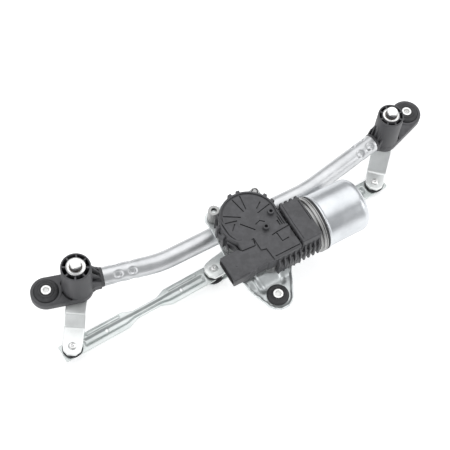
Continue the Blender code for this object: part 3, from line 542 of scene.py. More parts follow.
def pivot_housing(side):
    pivot, ear, radius = PIVOTS[side], EARS[side], BARREL_RADII[side]
    core = BUSH_RADIUS + 1.6
    profile = [(BUSH_RADIUS, 30.0), (BUSH_RADIUS, BARREL_TOP - 0.5), (core, BARREL_TOP - 0.5)]
    pocket = radius - BARREL_WALL
    profile += [(core, POCKET_FLOOR), (pocket, POCKET_FLOOR), (pocket, BARREL_TOP)]
    profile += [(radius, BARREL_TOP), (radius + 0.2, 12.0), (radius + 0.6, 2.0),
                (radius + 0.6, BARREL_BOTTOM)]
    profile += [(BUSH_RADIUS, BARREL_BOTTOM), (BUSH_RADIUS, 4.0), (7.2, 4.0), (7.2, 30.0)]
    rounding = [0.3, 0.3, 0.3, 1.0, 1.0, 0.5, 0.8, 6.0, 3.0, 0.8, 0.5, 0.2, 0.2, 0.2]
    pieces = [turned(side + "_barrel", soften(profile, rounding), pivot, NYLON)]
    low, high = (core - 0.4, -BARREL_RIB_WIDTH / 2), (radius - 1.4, BARREL_RIB_WIDTH / 2)
    rib = block("barrel_rib", (*low, POCKET_FLOOR - 0.5), (*high, BARREL_TOP - 0.4), edge=0.3)
    turn = (0, 0, 360 / BARREL_RIBS)
    at = (*pivot, 0)
    pieces.append(repeated(side + "_ribs", rib, BARREL_RIBS, NYLON, turn=turn, at=at,
                           facing=FIRST_RIB[side]))

    outlines = [belt(pivot, radius + 0.9, ear, EAR_RADIUS), circle(pivot, BUSH_RADIUS + 2)]
    outlines.append(circle(ear, GROMMET_NECK + 0.3))
    recesses = []
    for low, high in ((PLATE_TOP - 2.5, PLATE_TOP + 3), (BARREL_BOTTOM - 3, BARREL_BOTTOM + 3.5)):
        recesses.append(slab("ear_recess", [circle(ear, GROMMET_RADIUS + 0.4)], low, high, edge=0.3))
    outward = math.degrees(math.atan2(ear.y - pivot.y, ear.x - pivot.x))
    for first, last in ((outward - 62, outward - 12), (outward + 12, outward + 62)):
        band = arc(pivot, radius + 0.4, first, last) + arc(pivot, radius + 2.6, last, first)
        groove = slab("barrel_foot_groove", [soften(band, 0.8)], PLATE_TOP - 4.0, PLATE_TOP + 3, edge=0.3)
        recesses.append(groove)
    plate = slab(side + "_ear_plate", outlines, BARREL_BOTTOM, PLATE_TOP, NYLON, 1.0, 3)
    pieces.append(cut(plate, *recesses))
    lip = [(EAR_RADIUS - 0.4, PLATE_TOP - 1.0), (EAR_RADIUS - 0.4, PLATE_TOP + 0.5)]
    lip += [(GROMMET_RADIUS + 0.5, PLATE_TOP + 0.5), (GROMMET_RADIUS + 0.5, PLATE_TOP - 1.0)]
    pieces.append(turned(side + "_ear_lip", soften(lip, 0.45), ear, NYLON))

    end, way = (vector.xy for vector in tube_end(side))
    stand = (end - pivot).dot(way)
    aside = end - pivot - way * stand
    bore = (0, -aside.dot(Vector((-way.y, way.x))))
    facing = math.degrees(math.atan2(way.y, way.x))
    spigot = [(0.0, 12.0), (NECK_RADIUS, 12.0), (NECK_RADIUS, stand - 4.0)]
    spigot += [(NECK_COLLAR_RADIUS, stand - 3.6), (NECK_COLLAR_RADIUS, stand - 0.4)]
    spigot += [(SPIGOT_RADIUS, stand - 0.4), (SPIGOT_RADIUS, stand + 4.0)]
    spigot += [(SPIGOT_CORE_RADIUS, stand + 6.0), (SPIGOT_CORE_RADIUS, stand + SPIGOT_LENGTH)]
    spigot.append((0.0, stand + SPIGOT_LENGTH))
    rod = turned(side + "_spigot", soften(spigot, 0.5, closed=False), (0, 0), NYLON)
    pieces.append(moved(rod, Matrix.Rotation(math.radians(90), 4, "Y")))
    fins = []
    for lift, high in ((-9.6, 9.0), (-5.4, 21.0), (0.0, 33.0), (5.4, 21.0), (9.6, 9.0)):
        top = math.sqrt(11.2**2 - lift**2) + 0.8
        outline = [(8.5, -9.0), (stand - 3.4, -9.0), (stand - 3.4, top), (radius - 0.5, top + high * 0.72)]
        outline.append((8.5, top + high * 0.72))
        fin = slab("neck_fin", [soften(outline, 1.5)], lift - 0.8, lift + 0.8, NYLON, 0.3)
        fins.append(moved(fin, Matrix.Rotation(math.radians(90), 4, "X")))
    shelf = belt((0, 0), radius + 0.4, (stand - 14.0, 0), 10.4)
    for low, high in ((-10.4, -8.0), (-2.2, 0.2)):
        fins.append(slab("neck_shelf", [shelf], low, high, NYLON, 0.4))
    neck = join(pieces.pop(), *fins)
    core_void = slab("neck_void", [circle(bore, BUSH_RADIUS + 1.0)], -20.0, 60.0, edge=0.1)
    neck = cut(neck, core_void)
    place = Matrix.Translation(((pivot.x + aside.x) * MM, (pivot.y + aside.y) * MM, 0))
    pieces.append(moved(neck, place @ Matrix.Rotation(math.radians(facing), 4, "Z")))
    return together(side + "_housing_moulding", *pieces)


for side in ("left", "right"):
    fit(pivot_housing(side), "frame", "black_plastic", side + "_pivot_housing")

# --------------------------------------------------------------------------------- grommets, sleeves, bushes
# Each mounting point has a soft rubber grommet snapped into its plate, and a turned steel sleeve in
# the grommet for the car's bolt. Sintered bronze bushes are pressed into both ends of each barrel.

# For each mounting point: its centre, seat height, sleeve length, plate faces and grommet radius.
FOOT, SLEEVE_RADIUS, SLEEVE_BORE = Vector((0.0, 0.0)), 5.8, 3.3
MOUNTS = {"foot": (FOOT, 0.0, 13.0, (5.3, 7.7), 12.7)}
MOUNTS["left_ear"] = (EARS["left"], -13.0, 16.0, (-8.0, -4.0), GROMMET_RADIUS)
MOUNTS["right_ear"] = (EARS["right"], -13.0, 16.0, (-8.0, -4.0), GROMMET_RADIUS)
RUBBER = moulded("grommet_rubber", (0.034, 0.034, 0.036), (0.054, 0.054, 0.057), (0.58, 0.78), 0.03,
                 (0.12, 0.12, 0.125))
NICKEL = plated("turned_nickel", (0.76, 0.76, 0.75), (0.88, 0.88, 0.87), (0.26, 0.38), 90.0, 700.0, 0.002)
BRONZE = plated("sintered_bronze", (0.38, 0.26, 0.14), (0.52, 0.37, 0.21), (0.45, 0.6), 160.0, 900.0, 0.02)


def grommet_profile(seat, length, web, outer):
    low, high, inner = seat + 0.8, seat + length - 0.8, SLEEVE_RADIUS + 0.15
    profile = [(inner, high - 0.6), (inner + 1.2, high - 0.6), (inner + 1.4, high), (outer - 5.0, high)]
    profile += [(outer - 4.4, high - 0.9), (outer - 3.6, high - 0.9), (outer - 3.0, high - 0.5)]
    profile += [(outer - 1.3, high - 1.2), (outer, high - 2.6)]
    profile += [(outer, web[1] + GROMMET_GAP), (GROMMET_NECK, web[1] + GROMMET_GAP)]
    profile += [(GROMMET_NECK, web[0] - GROMMET_GAP), (outer, web[0] - GROMMET_GAP)]
    profile += [(outer, low + 1.5), (outer - 1.5, low)]
    return soften([*profile, (inner, low)], 0.5)


for name, (at, seat, length, web, outer) in MOUNTS.items():
    rubber = turned(name + "_rubber", grommet_profile(seat, length, web, outer), at, RUBBER)
    fit(rubber, "frame", "rubber", name + "_grommet")
    wall = [(SLEEVE_BORE, seat), (SLEEVE_RADIUS, seat), (SLEEVE_RADIUS, seat + length)]
    wall.append((SLEEVE_BORE, seat + length))
    sleeve = turned(name + "_steel_sleeve", soften(wall, 0.55), at, NICKEL)
    fit(sleeve, "frame", "nickel_plated_steel", name + "_sleeve")


def dress(finish, *nodes):
    """Gives CAD nodes that stay a better material."""
    for node in nodes:
        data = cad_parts[node].data
        data.materials.clear()
        data.materials.append(finish)


dress(BRONZE, "left_upper_bush", "left_lower_bush", "right_upper_bush", "right_lower_bush")

# -------------------------------------------------------------------------------------- motor bracket
# A zinc-plated pressing that lies over the tube and under the gear housing. It steps down to the
# foot, where its rim is turned up round the grommet, and two pressed channels stiffen the step.

BRACKET_Z, BRACKET_THICK, FOOT_PLATE_Z, FOOT_PLATE_RADIUS = 11.5, 2.4, 5.3, 17.5
MOTOR_SHAFT = Vector((8.0, 82.0))
TOWERS = ((Vector((-17.0, 116.0)), 34.0), (Vector((7.7, 31.0)), 26.0), (Vector((40.0, 119.5)), 20.0))
SCREW_RADIUS, SCREW_HEAD_RADIUS, TOWER_RADIUS = 3.0, 4.5, 6.5


def even(outline, step):
    """The same outline with its points a step apart."""
    made = []
    for start, end in zip(outline, outline[1:] + outline[:1]):
        start, end = Vector(start), Vector(end)
        count = max(round((end - start).length / step), 1)
        made += [tuple(start.lerp(end, i / count)) for i in range(count)]
    thin = [made[0]]
    for point in made[1:]:
        if (Vector(point) - Vector(thin[-1])).length > step * 0.45:
            thin.append(point)
    return thin


def inside(point, outline):
    """Whether a point is within an outline."""
    x, y = point
    hit = False
    for (ax, ay), (bx, by) in zip(outline, outline[1:] + outline[:1]):
        if (ay > y) != (by > y) and x < (bx - ax) * (y - ay) / (by - ay) + ax:
            hit = not hit
    return hit


def ease(value, start, end):
    """Rises smoothly from 0 to 1 between two values."""
    share = min(max((value - start) / (end - start), 0.0), 1.0)
    return share * share * (3 - 2 * share)


def pressed(name, outlines, height, thick, finish, grid=1.3, edge=0.35):
    """A blank cut from sheet and pressed: height gives its upper face. Later outlines are holes."""
    loops = [even(outline, grid * 0.8) for outline in outlines]
    points, edges = [], []
    for loop in loops:
        first = len(points)
        points += [Vector(point) for point in loop]
        edges += [(first + i, first + (i + 1) % len(loop)) for i in range(len(loop))]
    low_x, high_x = min(p.x for p in points), max(p.x for p in points)
    low_y, high_y = min(p.y for p in points), max(p.y for p in points)
    rim = list(points)
    for row in range(int((high_y - low_y) / grid) + 1):
        for column in range(int((high_x - low_x) / grid) + 1):
            spot = Vector((low_x + (column + 0.5 * (row % 2)) * grid, low_y + row * grid))
            if inside(spot, loops[0]) and not any(inside(spot, loop) for loop in loops[1:]):
                if min((spot - p).length_squared for p in rim) > (grid * 0.6) ** 2:
                    points.append(spot)
    spots, _, faces = delaunay_2d_cdt(points, edges, [], 2, 1e-5)[:3]
    work = bmesh.new()
    verts = [work.verts.new((p.x * MM, p.y * MM, height(p.x, p.y) * MM)) for p in spots]
    for face in faces:
        middle = sum((spots[i] for i in face), Vector((0, 0))) / len(face)
        if inside(middle, loops[0]) and not any(inside(middle, loop) for loop in loops[1:]):
            work.faces.new([verts[i] for i in face])
    loose = [vert for vert in work.verts if not vert.link_faces]
    bmesh.ops.delete(work, geom=loose, context="VERTS")
    mesh = bpy.data.meshes.new(name)
    work.to_mesh(mesh)
    work.free()
    if mesh.polygons[0].normal.z < 0:
        mesh.flip_normals()
    obj = link(name, mesh)
    wall = obj.modifiers.new("thickness", "SOLIDIFY")
    wall.thickness, wall.offset, wall.use_quality_normals = thick * MM, -1.0, True
    rounding = obj.modifiers.new("edges", "BEVEL")
    rounding.width, rounding.segments, rounding.limit_method = edge * MM, 2, "ANGLE"
    rounding.angle_limit, rounding.use_clamp_overlap = math.radians(55), False
    return plain(obj, finish, smooth=40, weld=0.0005)


def motor_bracket():
    tower_a, tower_b, tower_c = (tower for tower, top in TOWERS)
    outline = [*arc(FOOT, FOOT_PLATE_RADIUS, 200, 332, 24), (24, 8), (34, 26), (39, 40), (40, 84), (46, 100)]
    outline += [*arc(tower_c, 9, -20, 100, 12), *arc(tower_a, 10, 90, 200, 12)]
    outline += [(-27, 85), (-31, 60), (-30, 32)]
    outline = soften(outline, 4.0)
    rim = [Vector(point) for point in even(outline, 1.5)]
    holes = [circle(MOTOR_SHAFT, 9.6), circle(FOOT, GROMMET_NECK + 0.3)]
    holes += [circle(tower, SCREW_RADIUS + 0.3, 24) for tower in (tower_a, tower_b, tower_c)]

    def height(x, y):
        step = (BRACKET_Z - FOOT_PLATE_Z) * ease(-y, -29.0, -14.5)
        edge = min((Vector((x, y)) - point).length for point in rim)
        flange = 2.4 * (1 - ease(edge, 1.0, 3.2)) * (1 - ease(y, 60.0, 74.0))
        lane = ease(y, 8.0, 13.0) * (1 - ease(y, 34.0, 39.0))
        channels = 0.0
        for middle, lean, half, deep in ((-12.5, -0.2, 3.6, 2.4), (16.5, 0.25, 3.0, 1.0)):
            across = abs(x - middle - lean * (y - 20)) / half
            channels += deep * (1 - ease(across, 0.35, 1.25)) * lane
        return BRACKET_Z + BRACKET_THICK - step + flange - channels

    return pressed("bracket_pressing", [outline, *holes], height, BRACKET_THICK, ZINC, 1.3)


fit(motor_bracket(), "frame", "zinc_plated_steel", "motor_bracket")

# ------------------------------------------------------------------------- gear housing and its screws
# The gearbox tray, die cast in aluminium in one piece with the square motor end, the round flange
# the can is bolted to, the shaft's boss and three screw towers. Three screws hold it to the bracket.

MOTOR_Y, MOTOR_Z = 52.5, 21.5
HOUSING_Z, HOUSING_TOP, HOUSING_RADIUS, HOUSING_FRONT, HOUSING_LEFT = 14.4, 28.0, 33.0, 31.0, -6.0
CAST = moulded("cast_aluminium", (0.33, 0.33, 0.325), (0.47, 0.47, 0.465), (0.36, 0.55), 0.035,
               (0.66, 0.67, 0.67),
               0.1, 1.0, 0.9)


def gearbox_outline(radius, front, left):
    """The plan of the gearbox: round at the back about the output shaft, square at the front."""
    last = 360 - math.degrees(math.acos((left - MOTOR_SHAFT.x) / radius))
    corners = [(left, front), (MOTOR_SHAFT.x + radius, front), *arc(MOTOR_SHAFT, radius, 0, last, 72)]
    return soften(corners, 3.0)


def along_x(obj):
    """Lays a turned piece on the motor's axis."""
    lay = Matrix.Rotation(math.radians(90), 4, "Y")
    return moved(obj, Matrix.Translation((0, MOTOR_Y * MM, MOTOR_Z * MM)) @ lay)


def gear_housing():
    outline = gearbox_outline(HOUSING_RADIUS, HOUSING_FRONT, HOUSING_LEFT)
    body = slab("gear_tray", [outline], HOUSING_Z, HOUSING_TOP, CAST, 0.8)
    end = block("motor_end", (38, 24.5, HOUSING_Z), (70.5, 80.5, HOUSING_TOP), CAST, 0.9, 2.5)
    foot = block("motor_end_foot", (46, 32, -4), (69.0, 76, HOUSING_Z + 1), CAST, 1.2, 3.0)
    ring = [(0, 69.5), (30.8, 69.5), (30.8, 72.2), (33.5, 72.6), (33.5, 75.2), (32.3, 75.4), (32.3, 76.1)]
    ring += [(33.5, 76.3), (33.5, 77.5), (0, 77.5)]
    flange = along_x(turned("can_flange", soften(ring, 0.4, closed=False), finish=CAST))
    boss = [(0, -11), (8.2, -11), (8.4, 6), (10.5, 15), (0, 15)]
    boss = turned("shaft_boss", soften(boss, 0.8, closed=False), MOTOR_SHAFT, CAST)
    adds = [end, foot, flange, boss]
    for number, (tower, top) in enumerate(TOWERS):
        profile = [(0, HOUSING_Z), (TOWER_RADIUS + 0.5, HOUSING_Z), (TOWER_RADIUS, top), (0, top)]
        adds.append(turned(f"tower_{number}", soften(profile, 0.7, closed=False), tower, CAST, 48))
        inward = tower.lerp(MOTOR_SHAFT, 16 / (tower - MOTOR_SHAFT).length)
        web = belt(tower, 5.0, inward, 9.0)
        adds.append(slab(f"tower_web_{number}", [web], HOUSING_Z + 0.1, HOUSING_TOP - 3, CAST, 0.8))
    body = join(body, *adds)
    floor = HOUSING_Z + 2.4
    cutters = [slab("wheel_pocket", [circle(MOTOR_SHAFT, 29.5)], floor, HOUSING_TOP + 5, edge=0.5)]
    cutters.append(slab("shaft_bore", [circle(MOTOR_SHAFT, 6.3)], -16, floor + 5, edge=0.1))
    for radius, low, high in ((5.8, -3.5, 60), (10.3, 51.5, 62), (29.0, 59.5, 90)):
        profile = [(0, high), (radius, high), (radius, low), (0, low)]
        cutters.append(along_x(turned("motor_bore", profile)))
    for tower, top in TOWERS:
        cutters.append(slab("screw_hole", [circle(tower, SCREW_RADIUS + 0.3, 32)], HOUSING_Z - 5, top + 5,
                            edge=0.1))
    body = cut(body, *cutters)
    edge_rib = block("edge_rib", (32.5, -0.8, 15.0), (35.6, 0.8, 27.2), edge=0.35)
    round_ribs = repeated("tray_ribs", edge_rib, 7, CAST, turn=(0, 0, 24), at=(*MOTOR_SHAFT, 0), facing=52)
    return together("cast_gear_housing", body, round_ribs)


fit(gear_housing(), "frame", "cast_aluminium", "gear_housing")


def motor_screw(name, tower, top):
    """A flanged hexagon screw with a rolled thread, driven up from below."""
    head_top = BRACKET_Z - 0.3
    shank = [(0, top - 4), (SCREW_RADIUS - 0.5, top - 4)]
    turns = int(top - 5 - head_top)
    for thread in range(turns):
        shank += [(SCREW_RADIUS, top - 4.6 - thread), (SCREW_RADIUS - 0.45, top - 5.1 - thread)]
    shank += [(SCREW_RADIUS, head_top), (SCREW_HEAD_RADIUS, head_top), (SCREW_HEAD_RADIUS, head_top - 0.9)]
    shank += [(3.6, head_top - 1.3), (0, head_top - 1.3)]
    body = turned(name + "_shank", shank, tower, ZINC, 32)
    head = slab(name + "_head", [circle(tower, 4.1, 6)], head_top - 4, head_top - 1.0, ZINC, 0.4)
    return together(name, body, head)


for number, (tower, top) in enumerate(TOWERS, 1):
    screw = motor_screw(f"flanged_screw_{number}", tower, top)
    fit(screw, "frame", "zinc_plated_steel", f"motor_screw_{number}")

# ---------------------------------------------------------------------------- gear cover and plug socket
# A moulded black lid snapped on the gearbox over the circuit board. The plug socket is part of it,
# and so are two vent posts. Thin panel lines run out from a smooth middle to the grooved rim.

COVER_LOW, COVER_TOP, COVER_RADIUS, COVER_FRONT, COVER_LEFT, COVER_WALL = 28.3, 49.0, 34.5, 24.0, -2.0, 2.2
SOCKET_X, SOCKET_Y, SOCKET_Z = (-46.0, 2.0), (22.3, 54.8), (34.2, 47.7)
SOCKET_WALL, SOCKET_DEPTH = 1.15, 15.0
PIN_COUNT, PIN_PITCH, PIN_WIDTH, PIN_THICK, PIN_BELOW_MIDDLE = 4, 5.7, 2.4, 0.8, 0.4
VENT_POSTS = ((32.4, 76.2), (17.8, 62.1))
PANEL_LINES = [
    [(12.7, 111.3), (10.3, 93.1)],
    [(2.6, 111.4), (6.5, 91.8)],
    [(-17.0, 97.4), (0.1, 87.0)],
    [(-19.6, 88.5), (-5.7, 85.2)],
    [(-5.1, 80.2), (6.5, 65.7)],
    [(-17.0, 76.2), (-10.1, 82.9)],
    [(19.5, 82.8), (37.1, 86.6)],
    [(21.0, 87.9), (29.6, 94.1)],
    [(9.9, 71.4), (16.7, 73.7), (20.9, 69.7)],
    [(-1.2, 57.8), (-1.0, 41.0), (5.0, 39.7), (6.0, 22.0)],
    [(19.2, 51.2), (25.8, 52.2), (44.0, 53.2)],
    [(25.2, 51.2), (25.9, 39.7), (34.6, 40.2)],
]
LID_STRAPS = [
    ([(-22.2, 102.3), (-21.8, 90.8), (-21.3, 73.3), (-17.9, 64.9), (-13.2, 62.6)], 44.0, 49.6),
    ([(-23.5, 97.0), (-28.2, 90.0), (-24.2, 76.5), (-29.0, 63.5)], 26.0, 37.0),
    ([(-25.6, 71.0), (-21.0, 60.0), (-21.5, 52.0)], 30.0, 42.0),
]


def stroke(name, points, width, low, high, finish=None, edge=0.15):
    """A narrow strip of even width along points."""
    points = [Vector(point) for point in points]
    left, right = [], []
    for i, at in enumerate(points):
        before, after = points[max(i - 1, 0)], points[min(i + 1, len(points) - 1)]
        first, second = (at - before), (after - at)
        way = (first.normalized() if first.length else second.normalized())
        way = way + (second.normalized() if second.length else first.normalized())
        way.normalize()
        out = Vector((-way.y, way.x)) * width / 2
        left.append(tuple(at + out))
        right.append(tuple(at - out))
    return slab(name, [left + right[::-1]], low, high, finish, edge, 1)


def socket_mouth(low, high):
    """The socket's rounded slot, as a solid between two X positions."""
    radius = (SOCKET_Z[1] - SOCKET_Z[0]) / 2 - SOCKET_WALL
    middle_y = (SOCKET_Y[0] + SOCKET_Y[1]) / 2
    reach = (SOCKET_Y[1] - SOCKET_Y[0]) / 2 - SOCKET_WALL - radius
    mouth = [(-z, y) for y, z in belt((middle_y - reach, 0), radius, (middle_y + reach, 0), radius)]
    solid = slab("socket_mouth", [mouth], low, high, edge=0.3)
    socket_middle = (SOCKET_Z[0] + SOCKET_Z[1]) / 2
    lay = Matrix.Translation((0, 0, socket_middle * MM)) @ Matrix.Rotation(math.radians(90), 4, "Y")
    return moved(solid, lay)


def pin_z():
    return (SOCKET_Z[0] + SOCKET_Z[1]) / 2 - PIN_BELOW_MIDDLE


def pin_y(index):
    return (SOCKET_Y[0] + SOCKET_Y[1]) / 2 + (index - (PIN_COUNT - 1) / 2) * PIN_PITCH


def front_fin(width, high, low):
    """A snap fin that stands out from a front wall and leans back to it at the top."""
    side = [(0.8, -high), (-1.2, 1.0 - high), (-4.4, 9.0 - high), (-4.4, -low - 1.0), (-3.0, -low),
            (0.8, -low)]
    fin = slab("snap_fin", [soften(side, 0.6)], -width / 2, width / 2, edge=0.35)
    return moved(fin, Matrix(((0, 0, 1, 0), (1, 0, 0, 0), (0, -1, 0, 0), (0, 0, 0, 1))))


def gear_cover():
    outline = gearbox_outline(COVER_RADIUS, COVER_FRONT, COVER_LEFT)
    thin = COVER_WALL
    inner = gearbox_outline(COVER_RADIUS - thin, COVER_FRONT + thin, COVER_LEFT + thin)
    lid = slab("lid", [outline], COVER_LOW, COVER_TOP, NYLON, 0.9, 3)
    front, back = SOCKET_Y
    plan = [(SOCKET_X[0], front), (-19.4, front), (-15.0, front + 2.6), (SOCKET_X[1], front + 2.6)]
    plan += [(SOCKET_X[1], 50.4), (-6.5, 50.6), (-20.1, 51.4), (-23.3, back), (SOCKET_X[0], back)]
    body = slab("socket_block", [soften(plan, 1.6)], SOCKET_Z[0], SOCKET_Z[1], NYLON, 1.0, 3)
    root = [(-20.0, front + 3), (2.0, front + 3), (2.0, 53.8), (-7.0, 53.4), (-20.0, 50.0)]
    root = slab("socket_root", [soften(root, 1.5)], COVER_LOW + 0.6, SOCKET_Z[1] - 1.4, NYLON, 0.6)
    gusset = [(-20.0, -1.2), (-34.0, 5.0), (-20.0, 5.0)]
    wing = [slab("socket_gusset", [gusset], y, y + 1.8, NYLON, 0.3) for y in (28.0, 37.6, 47.2)]
    stand = Matrix.Translation((0, 0, 33.0 * MM)) @ Matrix.Rotation(math.radians(90), 4, "X")
    wing = [moved(piece, Matrix.Translation((0, 0, 0)) @ stand) for piece in wing]
    for piece, y in zip(wing, (28.0, 37.6, 47.2)):
        moved(piece, Matrix.Translation((0, 2 * (y + 0.9) * MM, 0)))
    corner = [(-21.2, 66.0), (-15.2, 63.4), (-19.5, 59.2), (-19.6, 50.1), (-3.5, 49.1), (2.0, 49.1),
              (2.0, 64.0)]
    corner = slab("lid_corner", [soften(corner, 0.8)], COVER_LOW + 1.0, COVER_TOP - 0.02, NYLON, 0.6)
    lid = join(lid, body, root, corner, *wing)
    cutters = [slab("lid_hollow", [inner], COVER_LOW - 2, COVER_TOP - thin, edge=0.6)]
    band = arc(MOTOR_SHAFT, 32.2, -24, 211, 80) + arc(MOTOR_SHAFT, 29.8, 211, -24, 80)
    cutters.append(slab("rim_groove", [band], COVER_TOP - 1.9, COVER_TOP + 3, edge=0.3))
    rim = arc(MOTOR_SHAFT, 37.0, -20, 211, 80) + arc(MOTOR_SHAFT, 34.4, 211, -20, 80)
    cutters.append(slab("rim_drop", [rim], COVER_TOP - 1.6, COVER_TOP + 4, edge=0.3))
    front_line = [(9.0, COVER_FRONT + 3.0), (41.0, COVER_FRONT + 3.0)]
    cutters.append(stroke("front_line", front_line, 1.3, COVER_TOP - 1.9, COVER_TOP + 2))
    for number, line in enumerate(PANEL_LINES):
        cutters.append(stroke(f"panel_line_{number}", line, 1.5, COVER_TOP - 1.9, COVER_TOP + 2))
    step = [(-4.0, 57.8), (-1.2, 57.8), (-1.0, 41.0), (5.0, 39.7), (6.0, 20.0), (-4.0, 20.0)]
    cutters.append(slab("socket_step", [step], SOCKET_Z[1] + 0.1, COVER_TOP + 3, edge=0.1))
    for number, (x, near, far) in enumerate(((41.4, 78.2, 56.0), (38.9, 73.5, 57.0), (36.5, 69.3, 57.6),
                                             (34.0, 65.0, 58.0))):
        cutters.append(stroke(f"side_gap_{number}", [(x, near), (x, far)], 1.7, COVER_TOP - 1.9,
                              COVER_TOP + 2))
    wedge = soften([(43.4, 51.4), (37.4, 42.0), (37.0, 38.6), (43.4, 36.8)], 0.6)
    cutters.append(slab("side_wedge", [wedge], COVER_TOP - 1.9, COVER_TOP + 2, edge=0.2))
    cutters.append(socket_mouth(SOCKET_X[0] - 2, SOCKET_X[0] + SOCKET_DEPTH))
    half_width, half_thick = PIN_WIDTH / 2 + 0.25, PIN_THICK / 2 + 0.25
    for index in range(PIN_COUNT):
        low = (SOCKET_X[0] - 1, pin_y(index) - half_width, pin_z() - half_thick)
        high = (COVER_LEFT + thin + 2, pin_y(index) + half_width, pin_z() + half_thick)
        cutters.append(block("pin_slot", low, high, edge=0.1))
        low = (SOCKET_X[0] + SOCKET_DEPTH - 2, pin_y(index) - half_width, pin_z() - 4.0)
        high = (SOCKET_X[0] + SOCKET_DEPTH + 3, pin_y(index) + half_width, pin_z() - 2.0)
        cutters.append(block("pin_relief", low, high, edge=0.2))
    lip = [(-38.4, front + 1.5), (-25.0, front + 1.5)]
    cutters.append(stroke("front_wall_line", lip, 0.6, SOCKET_Z[1] - 0.6, SOCKET_Z[1] + 2))
    back_line = [(-19.8, 50.3), (-3.5, 49.2), (-1.3, 56.5)]
    cutters.append(stroke("back_wall_line", back_line, 1.1, SOCKET_Z[1] - 1.3, SOCKET_Z[1] + 3))
    lid = cut(lid, *cutters)
    pieces = [lid]
    for number, post in enumerate(VENT_POSTS):
        profile = [(1.9, COVER_TOP - 1.2), (3.8, COVER_TOP - 1.2), (3.8, COVER_TOP + 5.0),
                   (1.9, COVER_TOP + 5.0)]
        pieces.append(turned(f"vent_post_{number}", soften(profile, [0, 0, 0.9, 0.5]), post, NYLON, 48))
    pip = [(0, SOCKET_Z[1] - 0.3), (1.3, SOCKET_Z[1] - 0.3), (1.1, SOCKET_Z[1] + 0.5),
           (0, SOCKET_Z[1] + 0.5)]
    pieces.append(turned("gate_pip", soften(pip, 0.3, closed=False), (-34.0, 37.8), NYLON, 32))
    for number, (line, low, high) in enumerate(LID_STRAPS):
        pieces.append(stroke(f"lid_strap_{number}", line, 1.9, low, high, NYLON, 0.4))
    for name, count, first, turn in (("back", 2, 79.5, 16.0), ("right", 2, 13.5, 16.3),
                                     ("left", 3, 148.0, 20.0)):
        tab = block("clip_tab", (33.6, -2.1, COVER_LOW - 5.0), (38.2, 2.1, COVER_TOP - 2.2), edge=0.7)
        at = (*MOTOR_SHAFT, 0)
        pieces.append(repeated(name + "_clips", tab, count, NYLON, turn=(0, 0, turn), at=at, facing=first))
    for label, item, count, at in (("fins", front_fin(2.0, 44.0, 14.0), 5, 12.6),
                                   ("hooks", front_fin(4.2, 36.0, 17.0), 4, 16.0)):
        pieces.append(repeated("front_" + label, item, count, NYLON, step=(6.9, 0, 0),
                               at=(at, COVER_FRONT, 0)))
    return together("moulded_gear_cover", *pieces)


fit(gear_cover(), "frame", "black_plastic", "gear_cover")

BRASS = plated("drawn_brass", (0.62, 0.44, 0.16), (0.80, 0.62, 0.30), (0.22, 0.36), 200.0, 900.0, 0.006)
blade = [(SOCKET_X[0] + 4.0, -0.7), (SOCKET_X[0] + 5.2, -PIN_WIDTH / 2), (COVER_LEFT + 6.2, -PIN_WIDTH / 2)]
blade += [(x, -y) for x, y in reversed(blade)]
blade = slab("blade", [blade], pin_z() - PIN_THICK / 2, pin_z() + PIN_THICK / 2, edge=0.16)
pins = repeated("contact_blades", blade, PIN_COUNT, BRASS, step=(0, PIN_PITCH, 0), at=(0, pin_y(0), 0))
fit(pins, "frame", "brass", *(f"connector_pin_{number}" for number in range(1, PIN_COUNT + 1)))

BOARD = moulded("green_board", (0.012, 0.085, 0.03), (0.02, 0.13, 0.05), (0.35, 0.5), 0.01,
                (0.10, 0.25, 0.12))
dress(BOARD, "control_board")

# ------------------------------------------------------------------------------------------ brush cover
# A second black moulding snapped over the motor's brush gear. It stands a little over the gear cover,
# with rows of snap fins down its front and back walls and stiffening ribs along its side.

HUMP_LOW, HUMP_HIGH, HUMP_WALL = Vector((44.2, 25.5, 28.3)), Vector((69.6, 78.4, 52.0)), 2.2


def brush_cover():
    hump = block("hump", HUMP_LOW, HUMP_HIGH, NYLON, 1.5, 2.6, 4)
    hollow_low = HUMP_LOW + Vector((HUMP_WALL, HUMP_WALL, -2))
    hollow_high = HUMP_HIGH - Vector((-5.0, HUMP_WALL, HUMP_WALL))
    cutters = [block("hump_hollow", hollow_low, hollow_high, edge=0.4)]
    edge_line = [(47.6, 76.6), (46.9, 52.0), (47.2, 29.0)]
    cutters.append(stroke("edge_line", edge_line, 0.8, HUMP_HIGH.z - 0.7, HUMP_HIGH.z + 2))
    flange_line = [(66.9, 74.0), (66.9, 46.0)]
    cutters.append(stroke("flange_line", flange_line, 1.1, HUMP_HIGH.z - 1.2, HUMP_HIGH.z + 2))
    hump = cut(hump, *cutters)
    fin = front_fin(2.4, 42.0, 12.0)
    hooks = repeated("hump_fins", fin, 4, NYLON, step=(6.2, 0, 0), at=(47.6, HUMP_LOW.y, 0))
    fin = block("back_fin", (-1.5, -0.8, 26.0), (1.5, 2.4, HUMP_HIGH.z - 1.2), edge=0.6)
    back_fins = repeated("back_fins", fin, 4, NYLON, step=(6.4, 0, 0), at=(48.0, HUMP_HIGH.y, 0))
    rib = block("side_rib", (-1.0, -0.5, 30.0), (0.9, 0.5, 47.5), edge=0.3)
    ribs = repeated("side_ribs", rib, 7, NYLON, step=(0, 7.2, 0), at=(HUMP_LOW.x, 31.0, 0))
    return together("moulded_brush_cover", hump, hooks, back_fins, ribs)


fit(brush_cover(), "frame", "black_plastic", "brush_cover")

# ------------------------------------------------------------------------------------ motor can and seal
# The motor's steel can is deep drawn, with a rolled rim and a pressed bearing cup in its end, and
# zinc plated. A rubber ring seals it to the cast flange. The magnets and brush gear are inside it.

